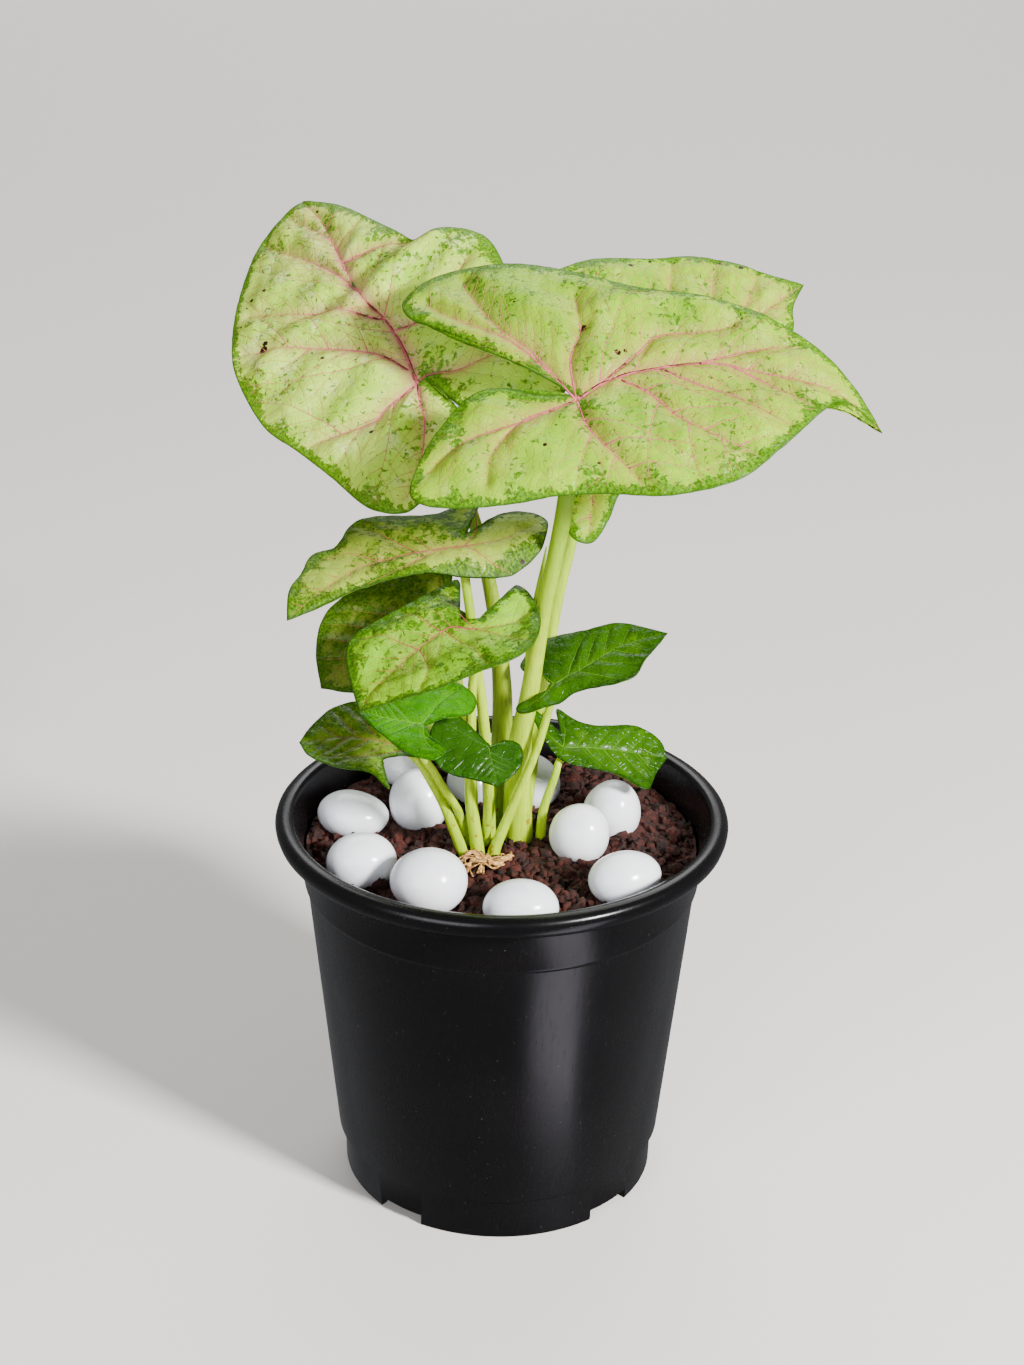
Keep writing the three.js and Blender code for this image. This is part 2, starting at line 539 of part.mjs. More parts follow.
function makeSoil() {
  const edgeTop = COLLAR_RADIUS - WALL - GAP - 0.9;
  const profile = [
    [0, SOIL_BOTTOM],
    [CHANNEL_OUTER - 1, SOIL_BOTTOM],
    [FOOT_STEP_OUTER - WALL - GAP - 1.6, FOOT_STEP_Z + 2],
    [LEDGE_INNER - WALL - GAP - 0.6, LEDGE_Z],
    [edgeTop, SOIL_TOP - 0.6],
    ...SOIL_RINGS.toReversed().map((radius) => [radius, SOIL_TOP]),
    [0, SOIL_TOP],
  ];
  const geometry = lathe(profile, SOIL_SIDES);
  const place = geometry.attributes.position;
  for (let i = 0; i < place.count; i += 1) {
    if (place.getZ(i) === SOIL_TOP) {
      place.setZ(i, soilHeight(place.getX(i), place.getY(i)));
    }
  }
  let soil = solidFrom(geometry);
  const flatToCorner = Math.cos(Math.PI / HOLE_SIDES);
  for (const leaf of LEAVES) {
    const [x, y, , radius] = leaf.stalk[0];
    const holeRadius = (radius + STALK_HOLE_GAP) / flatToCorner;
    const hole = cylinderAt(x, y, STALK_ROOT_Z - GAP, SOIL_TOP + 8, holeRadius, HOLE_SIDES);
    soil = soil.subtract(solidFrom(hole));
  }
  PEBBLES.forEach((pebble, i) => {
    soil = soil.subtract(solidFrom(pebbleGeometry(pebble, i, PEBBLE_HOLLOW_GAP)));
  });
  addMesh('soil', geometryFrom(soil), BROWN_SOIL);
}

// Dry sheath remains, curled on the soil in front of the stalks: thin strips that cross
const DRY_STRIPS = [
  [[-11.5, -16, 107], [-8.5, -14.4, 109.4], [-5, -15.4, 108], [-2.4, -13.6, 106.8]],
  [[-9.6, -21.6, 106.8], [-8.4, -17.6, 108.4], [-6.4, -15, 108.6], [-6.8, -12.6, 107]],
  [[-6, -21.8, 106.8], [-5.4, -18.2, 108.6], [-4.2, -15.2, 108.2], [-2.8, -17, 106.8]],
  [[-10.8, -18.6, 107], [-6.6, -18.6, 109], [-2.4, -18.4, 108], [1.2, -15.6, 106.8]],
  [[-3.2, -14.4, 107.2], [-0.6, -16.4, 108.2], [2, -14, 108], [3.6, -11.6, 106.8]],
];
const DRY_STRIP_RADIUS = 0.8;
const DRY_STRIP_SIDES = 5;
const DRY_STRIP_STEPS = 5;

function makeDrySheath() {
  let sheath = null;
  for (const strip of DRY_STRIPS) {
    const points = strip.map((point) => new THREE.Vector3(...point));
    const radii = points.map(() => DRY_STRIP_RADIUS);
    const piece = solidFrom(tube(points, radii, DRY_STRIP_SIDES, DRY_STRIP_STEPS));
    sheath = sheath ? sheath.add(piece) : piece;
  }
  addMesh('dry_sheath', geometryFrom(sheath), DRY_STRAW);
}

function makePebbles() {
  PEBBLES.forEach((pebble, i) => {
    addMesh(`pebble_${i + 1}`, pebbleGeometry(pebble, i, 0), WHITE_STONE);
  });
}

makePot();
makeSoil();
makePebbles();
makeLeaves();
makeDrySheath();

export default plant;
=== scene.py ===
# %% [markdown]
# # A potted syngonium
#
# A syngonium, or arrowhead plant, grows from a knot of roots: each leaf is one long stalk with
# one arrow-shaped blade. This one stands in a black nursery pot of coco peat with white pebbles
# on top. The frame holds every piece at its real size and place. This script gives each piece
# its fine surface, and every piece it makes stands where its solid is.
#
# Lengths are written in millimetres and become metres where a mesh is made.

import math

import bmesh
import bpy
import numpy as np
from mathutils import Matrix, Vector
from mathutils.bvhtree import BVHTree


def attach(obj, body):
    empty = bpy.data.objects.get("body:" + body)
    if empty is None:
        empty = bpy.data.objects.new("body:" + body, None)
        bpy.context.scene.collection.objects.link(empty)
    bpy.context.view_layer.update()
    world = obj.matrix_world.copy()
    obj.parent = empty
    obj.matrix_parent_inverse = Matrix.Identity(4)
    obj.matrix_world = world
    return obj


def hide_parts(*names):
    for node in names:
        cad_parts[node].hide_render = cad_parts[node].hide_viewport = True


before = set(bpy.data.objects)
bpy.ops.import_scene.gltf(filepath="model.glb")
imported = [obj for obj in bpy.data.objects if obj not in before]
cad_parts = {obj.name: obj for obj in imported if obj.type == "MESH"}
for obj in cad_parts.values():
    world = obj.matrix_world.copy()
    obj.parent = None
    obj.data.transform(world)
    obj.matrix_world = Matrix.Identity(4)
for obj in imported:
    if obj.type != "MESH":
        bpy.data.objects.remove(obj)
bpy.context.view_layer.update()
MM = 0.001
print("frame:", len(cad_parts), "nodes")

# %% [markdown]
# ## Camera
#
# The picture is taken from a little above, so that the soil and the pot's front both show.
# The camera is set by its place, its pitch down, a small yaw and a small roll. A long lens
# keeps the pot's sides nearly parallel.

# %% Place the camera
CAMERA_PLACE = (0, -666.5, 461.5)
CAMERA_YAW = 0.0035
CAMERA_PITCH = 0.4300
CAMERA_ROLL = 0.0148
FOCAL_PIXELS = 2611.2
PICTURE_HEIGHT = 1365
SENSOR = 36


def make_camera():
    level = math.cos(CAMERA_PITCH)
    forward = Vector((math.sin(CAMERA_YAW) * level, math.cos(CAMERA_YAW) * level,
                      -math.sin(CAMERA_PITCH)))
    side = forward.cross(Vector((0, 0, 1))).normalized()
    above = side.cross(forward)
    right = math.cos(CAMERA_ROLL) * side + math.sin(CAMERA_ROLL) * above
    up = -math.sin(CAMERA_ROLL) * side + math.cos(CAMERA_ROLL) * above
    camera = bpy.data.objects.new("camera", bpy.data.cameras.new("camera"))
    camera.data.sensor_width = SENSOR
    camera.data.lens = FOCAL_PIXELS * SENSOR / PICTURE_HEIGHT
    turn = Matrix((right, up, -forward)).transposed()
    camera.matrix_world = Matrix.Translation(Vector(CAMERA_PLACE) * MM) @ turn.to_4x4()
    bpy.context.collection.objects.link(camera)
    bpy.context.scene.camera = camera
    return camera


camera = make_camera()
print("lens:", round(camera.data.lens, 1), "mm")

# %% [markdown]
# ## Studio
#
# One bright lamp stands at the front right and casts the main shadow to the back left. A weaker
# one fills the left side, and one far behind lights the ground. The floor is plain and pale, and
# glossy surfaces don't mirror it, so that the black pot stays black. The camera looks down, so
# the pot's wall mirrors what lies below: there a slim lamp under the floor, which nothing else
# sees, draws the upright highlight down the pot.

# %% Lights and floor
def linear(hex_colour):
    """An sRGB hex colour as the linear RGBA that shaders work in."""
    parts = [int(hex_colour[i:i + 2], 16) / 255 for i in (1, 3, 5)]
    return tuple(c / 12.92 if c <= 0.04045 else ((c + 0.055) / 1.055) ** 2.4 for c in parts) + (1,)


def fill_sockets(tree, node, inputs):
    """Gives each input, by name or number, a value, a hex colour or another node's socket."""
    for key, value in inputs.items():
        if isinstance(value, bpy.types.NodeSocket):
            tree.links.new(value, node.inputs[key])
        elif isinstance(value, str) and value.startswith("#"):
            node.inputs[key].default_value = linear(value)
        else:
            node.inputs[key].default_value = value


def add_node(tree, kind, inputs=None, **settings):
    """Adds a node with its settings and fills its sockets."""
    node = tree.nodes.new(kind)
    for name, value in settings.items():
        setattr(node, name, value)
    fill_sockets(tree, node, inputs or {})
    return node


def area_light(name, place, target, size, power, colour):
    lamp = bpy.data.lights.new(name, "AREA")
    lamp.shape = "RECTANGLE"
    lamp.size, lamp.size_y = size
    lamp.energy = power
    lamp.color = linear(colour)[:3]
    lamp_object = bpy.data.objects.new(name, lamp)
    lamp_object.location = place
    towards = Vector(target) - Vector(place)
    lamp_object.rotation_euler = towards.to_track_quat("-Z", "Y").to_euler()
    bpy.context.collection.objects.link(lamp_object)


# Each lamp: its name, place, target, size, watts and colour. Lengths are in metres here
LAMPS = [
    ("key", (1.02, -0.92, 0.88), (0, 0, 0.16), (0.24, 0.24), 76, "#ffffff"),
    ("fill", (-0.9, -1.6, 0.9), (0, 0, 0.15), (1.2, 1.2), 26, "#f6f8ff"),
    ("pot highlight", (0.118, -0.138, -0.07), (0.03, -0.05, 0.05), (0.08, 0.17), 0.12,
     "#f6f0ff"),
    ("ground", (0, 2.6, 2.4), (0, 2.3, 0), (2.5, 2.5), 90, "#ffffff"),
]
ROOM_COLOUR = "#f2f4f8"
ROOM_STRENGTH = 0.24


def make_studio():
    for lamp in LAMPS:
        area_light(*lamp)
    world = bpy.data.worlds.new("studio")
    world.use_nodes = True
    fill_sockets(world.node_tree, world.node_tree.nodes["Background"],
                 {"Color": ROOM_COLOUR, "Strength": ROOM_STRENGTH})
    bpy.context.scene.world = world


FLOOR_HALF = 3000


def make_floor():
    mesh = bpy.data.meshes.new("floor")
    half = FLOOR_HALF * MM
    mesh.from_pydata([(-half, -half, 0), (half, -half, 0), (half, half, 0), (-half, half, 0)],
                     [], [(0, 1, 2, 3)])
    floor = bpy.data.objects.new("floor", mesh)
    paper = bpy.data.materials.new("matt studio paper")
    paper.use_nodes = True
    fill_sockets(paper.node_tree, paper.node_tree.nodes["Principled BSDF"],
                 {"Base Color": "#e9e3db", "Roughness": 0.9})
    mesh.materials.append(paper)
    bpy.context.collection.objects.link(floor)
    floor.visible_glossy = False


make_studio()
make_floor()

# %% [markdown]
# ## Leaves: the shapes
#
# A blade is described flat first, with its stalk's end at (0, 0), its tip along the first axis
# and its left side along the second. The edge runs from the notch round the left side to the
# tip and back. Then the blade is raised off that plane: it arches towards the tip, its halves
# fold up along the midrib, and some blades bend along a soft crease. Last it is turned by its
# heading, rise and roll, and set on the end of its stalk.

# %% The leaves' shapes
LEAVES = {
    "leaf_back_left": dict(
        at=(-25, 22, 236), heading=113, rise=28, roll=-28,
        length=91, half_width=44, arch=2, lobe_drop=0,
        cup=(2, 2), fold=(0.05, 0.05), wave=0.6,
        bends=[((36, 44), (52, -30), 0.2, 4)],
        heart=(8, -0.3),
        edge=[(-0.5, -3), (-6, -4.8), (-11, -6.4), (-14, -7.3), (-21, -4.6), (-28, 0.5),
              (-34, 7), (-38, 13), (-38, 19), (-32, 26), (-17, 32), (-3, 38), (10, 44),
              (29, 46), (43, 44), (61, 38), (79, 28), (88, 17), (91, 9), (80, -1), (60, -11),
              (49, -17), (47, -26), (37, -35), (20, -36), (4, -37), (-8, -38), (-20, -38),
              (-27, -33), (-28, -25), (-24, -15.5), (-18.5, -10.7), (-14, -8.5), (-10, -6.9),
              (-6, -5.4)],
        stalk=[(-1.2, 7.6, 106, 3.2), (-0.6, 10, 124, 3.2), (-0.4, 11.5, 148, 2.8),
               (-3, 13.5, 172, 2.1), (-8, 16, 195, 1.9), (-16, 19, 217, 1.8)],
    ),
    "leaf_front_right": dict(
        at=(18, -14, 244), heading=0, rise=10, roll=28,
        length=78, half_width=43, arch=9, lobe_drop=2,
        cup=(2, 2), fold=(0.15, -0.06), wave=0.5,
        bends=[((-10, 28), (76, 26), 0.2, 4), ((66, 20), (66, -20), 0.6, 2)],
        heart=(5, 0),
        edge=[(0, 1.5), (-8, 9), (-18, 18), (-30, 28), (-38, 36), (-43, 41), (-44, 49),
              (-36, 57), (-25, 58), (-12, 55), (5, 46), (22, 36), (40, 28), (55, 19), (66, 9),
              (73, 0), (78, -12), (72, -7), (67, -8), (60, -14), (50, -23), (38, -32),
              (20, -35), (0, -31), (-20, -30), (-34, -28), (-43, -25), (-46, -19), (-41, -7),
              (-35, 1), (-28, 7), (-20, 8), (-10, 3.5)],
        stalk=[(4.8, 1.5, 106, 4.3), (4.4, 0.6, 120, 4), (5, 0, 138, 3.2), (7, -1.5, 151, 2.7),
               (9, -3.5, 167, 2.4), (11, -6, 182, 2.2), (15, -10, 207, 2.3),
               (17, -12, 226, 2.2)],
    ),
    "leaf_back_right": dict(
        at=(27, 34, 232), heading=28, rise=14, roll=38,
        length=74, half_width=40, arch=6, lobe_drop=0,
        cup=(3, 3), fold=(-0.03, -0.03), wave=0.5,
        bends=[],
        heart=(5, 0),
        edge=[(0, 1), (-10, 9), (-20, 20), (-22, 30), (-10, 38), (4, 41), (20, 41), (37, 34),
              (48, 30), (58, 23), (66, 15), (75, 8), (67, 2), (60, -7), (40, -17), (18, -23),
              (0, -26.5), (-12, -30.5), (-19.5, -36.5), (-27, -40), (-31, -34), (-22, -19),
              (-9, -7)],
        stalk=[(6, 11.8, 106, 2.5), (8, 16, 122, 2.3), (10.4, 19.5, 142, 2.1),
               (12.9, 22, 159, 2), (15.4, 24, 174, 1.9), (18.8, 27, 189, 1.8),
               (22.6, 30.5, 211, 1.8)],
    ),
    "leaf_middle_left": dict(
        at=(-11, -8, 200), heading=190, rise=-6, roll=-14,
        length=52, half_width=25, arch=2, lobe_drop=0,
        cup=(4, 2), fold=(0.05, 0.05), wave=0.5,
        bends=[((-18, 1), (26, 9), 0.8, 1.2)],
        heart=(4, 0),
        edge=[(-1, -5), (-6, -8), (-12, -12), (-19, -12), (-24, -6), (-21, 3), (-15, 7.4),
              (-9, 9), (1, 9), (14, 8), (30, 10), (42, 13), (51, 15), (49, 6), (45, 0),
              (41, -8), (34, -10), (29, -18), (22, -20), (8, -17), (-2, -20), (-8, -21),
              (-7, -17), (-4, -11)],
        stalk=[(-3.4, 1.8, 106, 1.8), (-4, -1.5, 123, 1.7), (-5, -4, 140, 1.6),
               (-6.5, -6, 156, 1.5), (-8.4, -7.4, 170, 1.4), (-9.4, -7.8, 180, 1.35),
               (-11, -8, 192, 1.3)],
    ),
    "leaf_middle_front": dict(
        at=(-8, -14, 178), heading=205, rise=-16, roll=-8,
        length=41, half_width=21, arch=3, lobe_drop=0,
        cup=(0, 0), fold=(0.15, 0.15), wave=0.3,
        bends=[],
        heart=(5, 0),
        edge=[(1.5, -5.5), (-4, -3), (-9, -5.5), (-14, -7), (-18, -9), (-19, -2), (-16, 9),
              (-10, 18), (-2, 22), (9, 21), (20, 19), (30, 14), (40, 9), (37, -3), (33, -14),
              (27, -19), (12, -20), (2, -20), (-5, -20), (-3, -15), (-0.5, -10)],
        stalk=[(-6.7, -8.8, 106, 2), (-9, -10, 126, 1.7), (-9, -11, 143, 1.5),
               (-8.7, -11.2, 158, 1.3), (-8, -13, 169, 1.3)],
    ),
    "leaf_behind_left": dict(
        at=(-20, 8, 175), heading=195, rise=-20, roll=-30,
        length=38, half_width=20, arch=3, lobe_drop=0,
        cup=(0, 0), fold=(0.1, 0.1), wave=0.4,
        bends=[],
        heart=(6, 0),
        edge=[(-1, -1), (-6, 4), (-8, 10), (-4, 16), (5, 19), (17, 19), (29, 16), (38, 8),
              (35, -4), (28, -13), (15, -16), (3, -15), (-6, -13), (-9, -8), (-6, -3)],
        stalk=[(-8.6, 3.6, 106, 1.8), (-9, 5, 122, 1.7), (-11, 8, 140, 1.5),
               (-14, 9, 156, 1.4), (-18, 8.5, 167, 1.3)],
    ),
    "leaf_low_left": dict(
        at=(-23, -16, 140), heading=178, rise=6, roll=-18,
        length=34, half_width=17, arch=2, lobe_drop=0,
        cup=(0, 0), fold=(0.1, 0.1), wave=0.2,
        bends=[],
        heart=(12, -4),
        edge=[(0, 0), (6, 1), (10, 4), (7, 15), (13, 9), (22, 8), (30, 4), (34, -2), (31, -9),
              (25, -16), (14, -19), (2, -16), (-5, -12), (-4, -5)],
        stalk=[(-11.1, -9.2, 106, 1.7), (-14, -11, 116, 1.5), (-17, -13, 125, 1.3),
               (-21, -15, 134, 1.2)],
    ),
    "leaf_low_bright": dict(
        at=(-22, -28, 156), heading=190, rise=0, roll=-14,
        length=17, half_width=16, arch=1, lobe_drop=0,
        cup=(0, 0), fold=(0.05, 0.05), wave=0.2,
        bends=[],
        heart=(3, -2),
        edge=[(-1, 1), (-2, 8), (-5, 12), (-1, 16), (6, 12), (11, 4), (17, -8), (10, -15),
              (0, -17), (-10, -17), (-16, -10), (-14, -3), (-7, -2)],
        stalk=[(-9.9, -4.2, 106, 1.4), (-11.8, -8.4, 117, 1.3), (-13, -12.8, 123, 1.2),
               (-15.8, -17.4, 130, 1.2), (-19, -21, 138, 1.1), (-21.8, -24.5, 144.5, 1.1),
               (-22.3, -27, 150, 1)],
    ),
    "leaf_low_heart": dict(
        at=(-4, -21.5, 146), heading=275, rise=-35, roll=0,
        length=12, half_width=12, arch=1, lobe_drop=0,
        cup=(0, 0), fold=(0.05, 0.05), wave=0.2,
        bends=[],
        heart=(3, -2),
        edge=[(0, 1), (-2, 5), (0, 9), (5, 9), (9, 6), (12, 2), (10, -4), (8, -11), (4, -15),
              (-4, -16), (-9, -13), (-10, -8), (-5, -3)],
        stalk=[(-4.6, -3.8, 106, 1.4), (-4.2, -7.5, 115, 1.3), (-4, -12, 124, 1.2),
               (-4, -17, 135.5, 1.1)],
    ),
    "leaf_low_right": dict(
        at=(14, -3, 157), heading=8, rise=20, roll=16,
        length=35, half_width=15, arch=1, lobe_drop=0,
        cup=(0, 0), fold=(0.1, 0.1), wave=0.2,
        bends=[],
        heart=(4, 0),
        edge=[(-1, 1), (-3, 5.5), (-7, 9), (-6, 13), (1, 17), (14, 15), (24, 13), (35, 4),
              (28, -2), (20, -8), (12, -6), (4, -5), (-4, -8), (-11, -8), (-12, -4),
              (-6, -2.5), (-3, -1.5)],
        stalk=[(-2.2, -8.2, 106, 1.8), (1, -7.4, 115, 1.5), (6, -6.6, 128, 1.3),
               (10, -5, 139, 1.2), (13, -3.6, 150, 1.1)],
    ),
    "leaf_lowest_right": dict(
        at=(17, 2, 132), heading=5, rise=-16, roll=30,
        length=32, half_width=15, arch=2, lobe_drop=0,
        cup=(0, 0), fold=(0.1, 0.1), wave=0.2,
        bends=[],
        heart=(4, 3),
        edge=[(-0.5, 5), (-2, 10), (-3, 15), (3, 13), (10, 13), (21, 16), (29, 14), (32, 9),
              (29, 3), (26, -4), (18, -1.5), (8, -2), (0, -1.5), (-6, 4), (-11, 13), (-5, 10)],
        stalk=[(11.2, 0.8, 106, 1.5), (12, 0.6, 116, 1.3), (15, 1, 126, 1.1)],
    ),
}

# %% [markdown]
# A blade's edge is a smooth line through its points, broken only at the notch and the tip.
# The same rule gives the solid its edge, so both run through the same places.

# %% The edge of a blade
# Steps between two points of a line when its length is measured
FINE_STEPS = 40


def smooth_line(points, where):
    """Places on a Catmull-Rom line. where counts its points: 2.5 is half-way from 2 to 3."""
    points = np.asarray(points, float)
    padded = np.vstack([2 * points[0] - points[1], points, 2 * points[-1] - points[-2]])
    start = np.clip(np.floor(where).astype(int), 0, len(points) - 2)
    t = (where - start)[:, None]
    before, here, ahead, after = (padded[start + k] for k in range(4))
    slope_here = (ahead - before) / 2
    slope_ahead = (after - here) / 2
    return (here * (2 * t**3 - 3 * t**2 + 1) + slope_here * (t**3 - 2 * t**2 + t)
            + ahead * (3 * t**2 - 2 * t**3) + slope_ahead * (t**3 - t**2))


def even_line(points, count):
    """count + 1 places, evenly spread along the smooth line through points, and their counts."""
    fine = np.linspace(0, len(points) - 1, FINE_STEPS * (len(points) - 1) + 1)
    line = smooth_line(points, fine)
    run = np.concatenate([[0], np.cumsum(np.linalg.norm(np.diff(line, axis=0), axis=1))])
    where = np.interp(np.linspace(0, run[-1], count + 1), run, fine)
    return smooth_line(points, where), where


def blade_edge(leaf, count):
    """count places round the edge, with the notch and the tip among them, and their counts."""
    edge = leaf["edge"]
    tip = max(range(len(edge)), key=lambda i: edge[i][0])
    sides = [edge[:tip + 1], edge[tip:] + edge[:1]]
    lengths = [np.linalg.norm(np.diff(np.array(side, float), axis=0), axis=1).sum()
               for side in sides]
    left_count = 2 * round(count * lengths[0] / sum(lengths) / 2)
    left, left_where = even_line(sides[0], left_count)
    right, right_where = even_line(sides[1], count - left_count)
    counts = np.concatenate([left_where[:-1], tip + right_where[:-1]])
    return np.vstack([left[:-1], right[:-1]]), counts


# %% [markdown]
# The height of a blade over its own plane has the same terms as the solid's: the arch, the
# fold of each half, the cup of each half and any bends. A ripple grows towards the edge.

# %% The height of a blade
# How soft the fold at the midrib is, and how far back the lobes' drop is full, as shares
FOLD_SOFTNESS = 0.12
LOBE_SHARE = 0.5


def blade_height(leaf, along, across):
    s = along / leaf["length"]
    t = across / leaf["half_width"]
    soft = FOLD_SOFTNESS * leaf["half_width"]
    left = across >= 0
    height = np.where(s > 0, -leaf["arch"] * s**2, -leaf["lobe_drop"] * (s / LOBE_SHARE) ** 2)
    height = height + np.where(left, *leaf["fold"]) * (np.hypot(across, soft) - soft)
    height = height - np.where(left, *leaf["cup"]) * t**2
    for start, end, slope, width in leaf["bends"]:
        run = math.dist(start, end)
        beyond = ((end[0] - start[0]) * (across - start[1])
                  - (end[1] - start[1]) * (along - start[0])) / run
        height = height - slope * width * np.logaddexp(0, beyond / width)
    return height


def blade_axes(leaf):
    heading, rise, roll = (math.radians(leaf[name]) for name in ("heading", "rise", "roll"))
    tip = Vector((math.cos(heading) * math.cos(rise), math.sin(heading) * math.cos(rise),
                  math.sin(rise)))
    left = Matrix.Rotation(roll, 3, tip) @ Vector((-math.sin(heading), math.cos(heading), 0))
    return tuple(np.array(axis) for axis in (tip, left, tip.cross(left)))


def on_blade(leaf, along, across, lift=0.0):
    """Places on the blade, in millimetres, lift above its middle surface."""
    tip, left, up = blade_axes(leaf)
    height = blade_height(leaf, along, across) + lift
    return (np.array(leaf["at"], float) + np.multiply.outer(along, tip)
            + np.multiply.outer(across, left) + np.multiply.outer(height, up))


# %% [markdown]
# ## Leaves: the veins
#
# A syngonium blade has a midrib, one strong rib into each lobe, side ribs that leave the midrib
# and curve towards the edge, and finer branches between. The strong ribs of the large blades are
# given point by point. All others grow by a rule: a branch leaves its rib at an angle, turns
# slowly towards the tip, and stops short of the edge, at another vein or after its reach.

# %% The strong ribs
RIBS = {
    "leaf_back_left": [
        [(0, 0), (13, -0.5), (26, 0.9), (38, 4.5), (55, 5.5), (77, 6.4), (90, 9.4)],
        [(5.7, 0.7), (15, 6.2), (23, 16), (29, 26), (34, 36), (37, 42)],
        [(0, 0), (-3.8, 11), (-6.2, 15), (-4.5, 28), (-4, 34)],
        [(0, 0), (-6.4, 1.3), (-14.4, 2.6), (-26, 8.2), (-34, 15)],
        [(0.8, -0.5), (1, -5), (-2, -12), (-2.6, -21.4), (-6, -33)],
        [(37.6, 4.2), (47, 6.7), (62, 14), (75, 22.3), (80, 25)],
        [(54, 5.5), (54, -6.5), (50.7, -13.6)],
        [(51, 5.6), (67, 6.2), (81, 12.7), (86, 15)],
        [(21, 0), (20.2, -8), (23.6, -15.5), (34, -28)],
        [(26, 1), (36, 12), (45, 26), (52, 37)],
    ],
    "leaf_front_right": [
        [(0, 0), (8, 4.6), (17.6, 6.7), (34.7, 7.2), (46, 3.8), (58.6, -0.4), (69.6, -4.6), (77, -11.4)],
        [(12.5, 4.6), (19.3, -1.2), (26, -10.3), (39.5, -20.6), (44, -24)],
        [(0, 0), (2.2, -9.9), (8.1, -20), (12.9, -28), (14, -31)],
        [(0, 0), (-5.8, -1.8), (-15.3, -4.5), (-23.5, -13.6), (-25.6, -22.7)],
        [(0, 0), (-10.6, 19), (-19.2, 30.3), (-26, 47), (-27, 52)],
        [(0, 0), (-0.3, 13.4), (3.3, 23), (3, 36)],
        [(7, 4.2), (18.4, 13.6), (24.2, 17.9), (40, 17.8), (46, 20)],
        [(22.9, 7), (32.5, 0), (42.3, -5.7), (54, -15)],
        [(33.4, 7.3), (49.6, 10.3), (60, 10.5)],
        [(42, 5.3), (50, -1), (60, -9)],
        [(-5.8, -1.8), (-15.3, -4.5), (-29, -7.2), (-41, -15)],
        [(-6, 10.5), (-16, 24), (-30, 36), (-38, 45)],
    ],
    "leaf_back_right": [
        [(0, 0), (20, -1), (45, 1), (74, 8)],
        [(3, 0), (8, 14), (10, 28), (12, 38)],
        [(0, 0), (-8, -14), (-18, -26), (-26, -37)],
        [(12, -0.6), (26, 9), (36, 22), (42, 30)],
        [(28, -0.6), (40, 8), (50, 20), (54, 25)],
        [(0, 0), (-6, 16), (-15, 30)],
        [(14, -0.7), (24, -10), (34, -18)],
        [(44, 1), (54, 8), (63, 16)],
    ],
    "leaf_middle_left": [
        [(0, 0), (13.7, -0.4), (23.5, 0.9), (32, 3.3), (50, 14.6)],
        [(0, 0), (-9.7, -0.3), (-20, -4.6)],
        [(0, 0), (-5, -8), (-6, -19)],
        [(13, -0.4), (21.6, -10), (27, -17)],
        [(23.5, 0.9), (31, -4.6), (39, -5)],
        [(8, 0), (18, 5), (28, 9)],
        [(0, 0), (-6, 6), (-14, 10)],
    ],
    "leaf_middle_front": [
        [(0, 0), (4.8, -4.4), (10, -4.4), (23, -0.7), (34, 4), (39.4, 8.4)],
        [(0, 0), (-6.2, 3), (-16, 2.5)],
        [(0, 0), (1, -10), (-1, -18)],
        [(8, -4.5), (11, -12), (14, -19)],
        [(16, -2.3), (22, -11.6), (28, -17)],
        [(16, -2.3), (18, 8), (24, 15)],
        [(7, -4.4), (5, 8), (5, 19)],
        [(0, 0), (-5, 9), (-9, 17)],
    ],
    "leaf_behind_left": [
        [(0, 0), (12, 1), (26, 3), (38, 8)],
        [(0, 0), (-4, 6), (-6, 12)],
        [(0, 0), (-4, -6), (-7, -11)],
    ],
    "leaf_low_left": [
        [(0, -0.6), (6, -3.4), (17, -4.8), (24, -4.5), (34, -2)],
        [(0, -0.6), (0, -8), (-2, -13)],
    ],
    "leaf_low_bright": [
        [(0, 0), (8, -3), (17, -8)],
        [(0, 0), (0, 8), (-3, 13)],
        [(0, 0), (-6, -8), (-12, -13)],
    ],
    "leaf_low_heart": [
        [(0, 0), (6, 1), (12, 2)],
        [(0, 0), (-1, 4), (1, 8)],
        [(0, 0), (-4, -6), (-8, -12)],
    ],
    "leaf_low_right": [
        [(0, 0), (10, 2), (22, 5), (35, 4)],
        [(0, 0), (-3, 7), (-1, 14)],
        [(0, 0), (-6, -4.5), (-11, -6)],
    ],
    "leaf_lowest_right": [
        [(0, 3), (8, 5), (20, 7), (32, 9)],
        [(0, 3), (0, 8), (-1, 12)],
        [(0, 3), (-5, 6), (-10, 12)],
    ],
}

# %% [markdown]
# Where a blade has only its midrib and lobe ribs listed, side ribs are grown from the midrib on
# both sides. Slimmer ribs then grow between the strong ones, and fine branches from all of
# them, as in the real leaf's net.

# %% Growing the branches
# Blades longer than LARGE_BLADE are large, and those shorter than SMALL_BLADE are small
LARGE_BLADE = 60
SMALL_BLADE = 40
# Spacings along a rib: those of ribs as shares of the blade's length, that of fine branches in
# millimetres, which is closer on blades that aren't large
RIB_SPACING_SHARE = 0.17
BETWEEN_SPACING_SHARE = 0.13
BRANCH_SPACING = 5.5
CLOSER = 0.7
# How branches grow: the angle to their rib and the turn for each millimetre, in radians, and
# how far they reach
SIDE_RIB = dict(opening=0.9, turn=0.018, reach=60)
BETWEEN_RIB = dict(opening=0.95, turn=0.014, reach=60)
LARGE_BRANCH = dict(opening=0.85, turn=0.03, reach=16)
SHORT_BRANCH = dict(opening=0.85, turn=0.03, reach=8)
# Shares of the spacing that a rib keeps bare at its start and its end
BARE_START, BARE_END = 0.7, 0.4
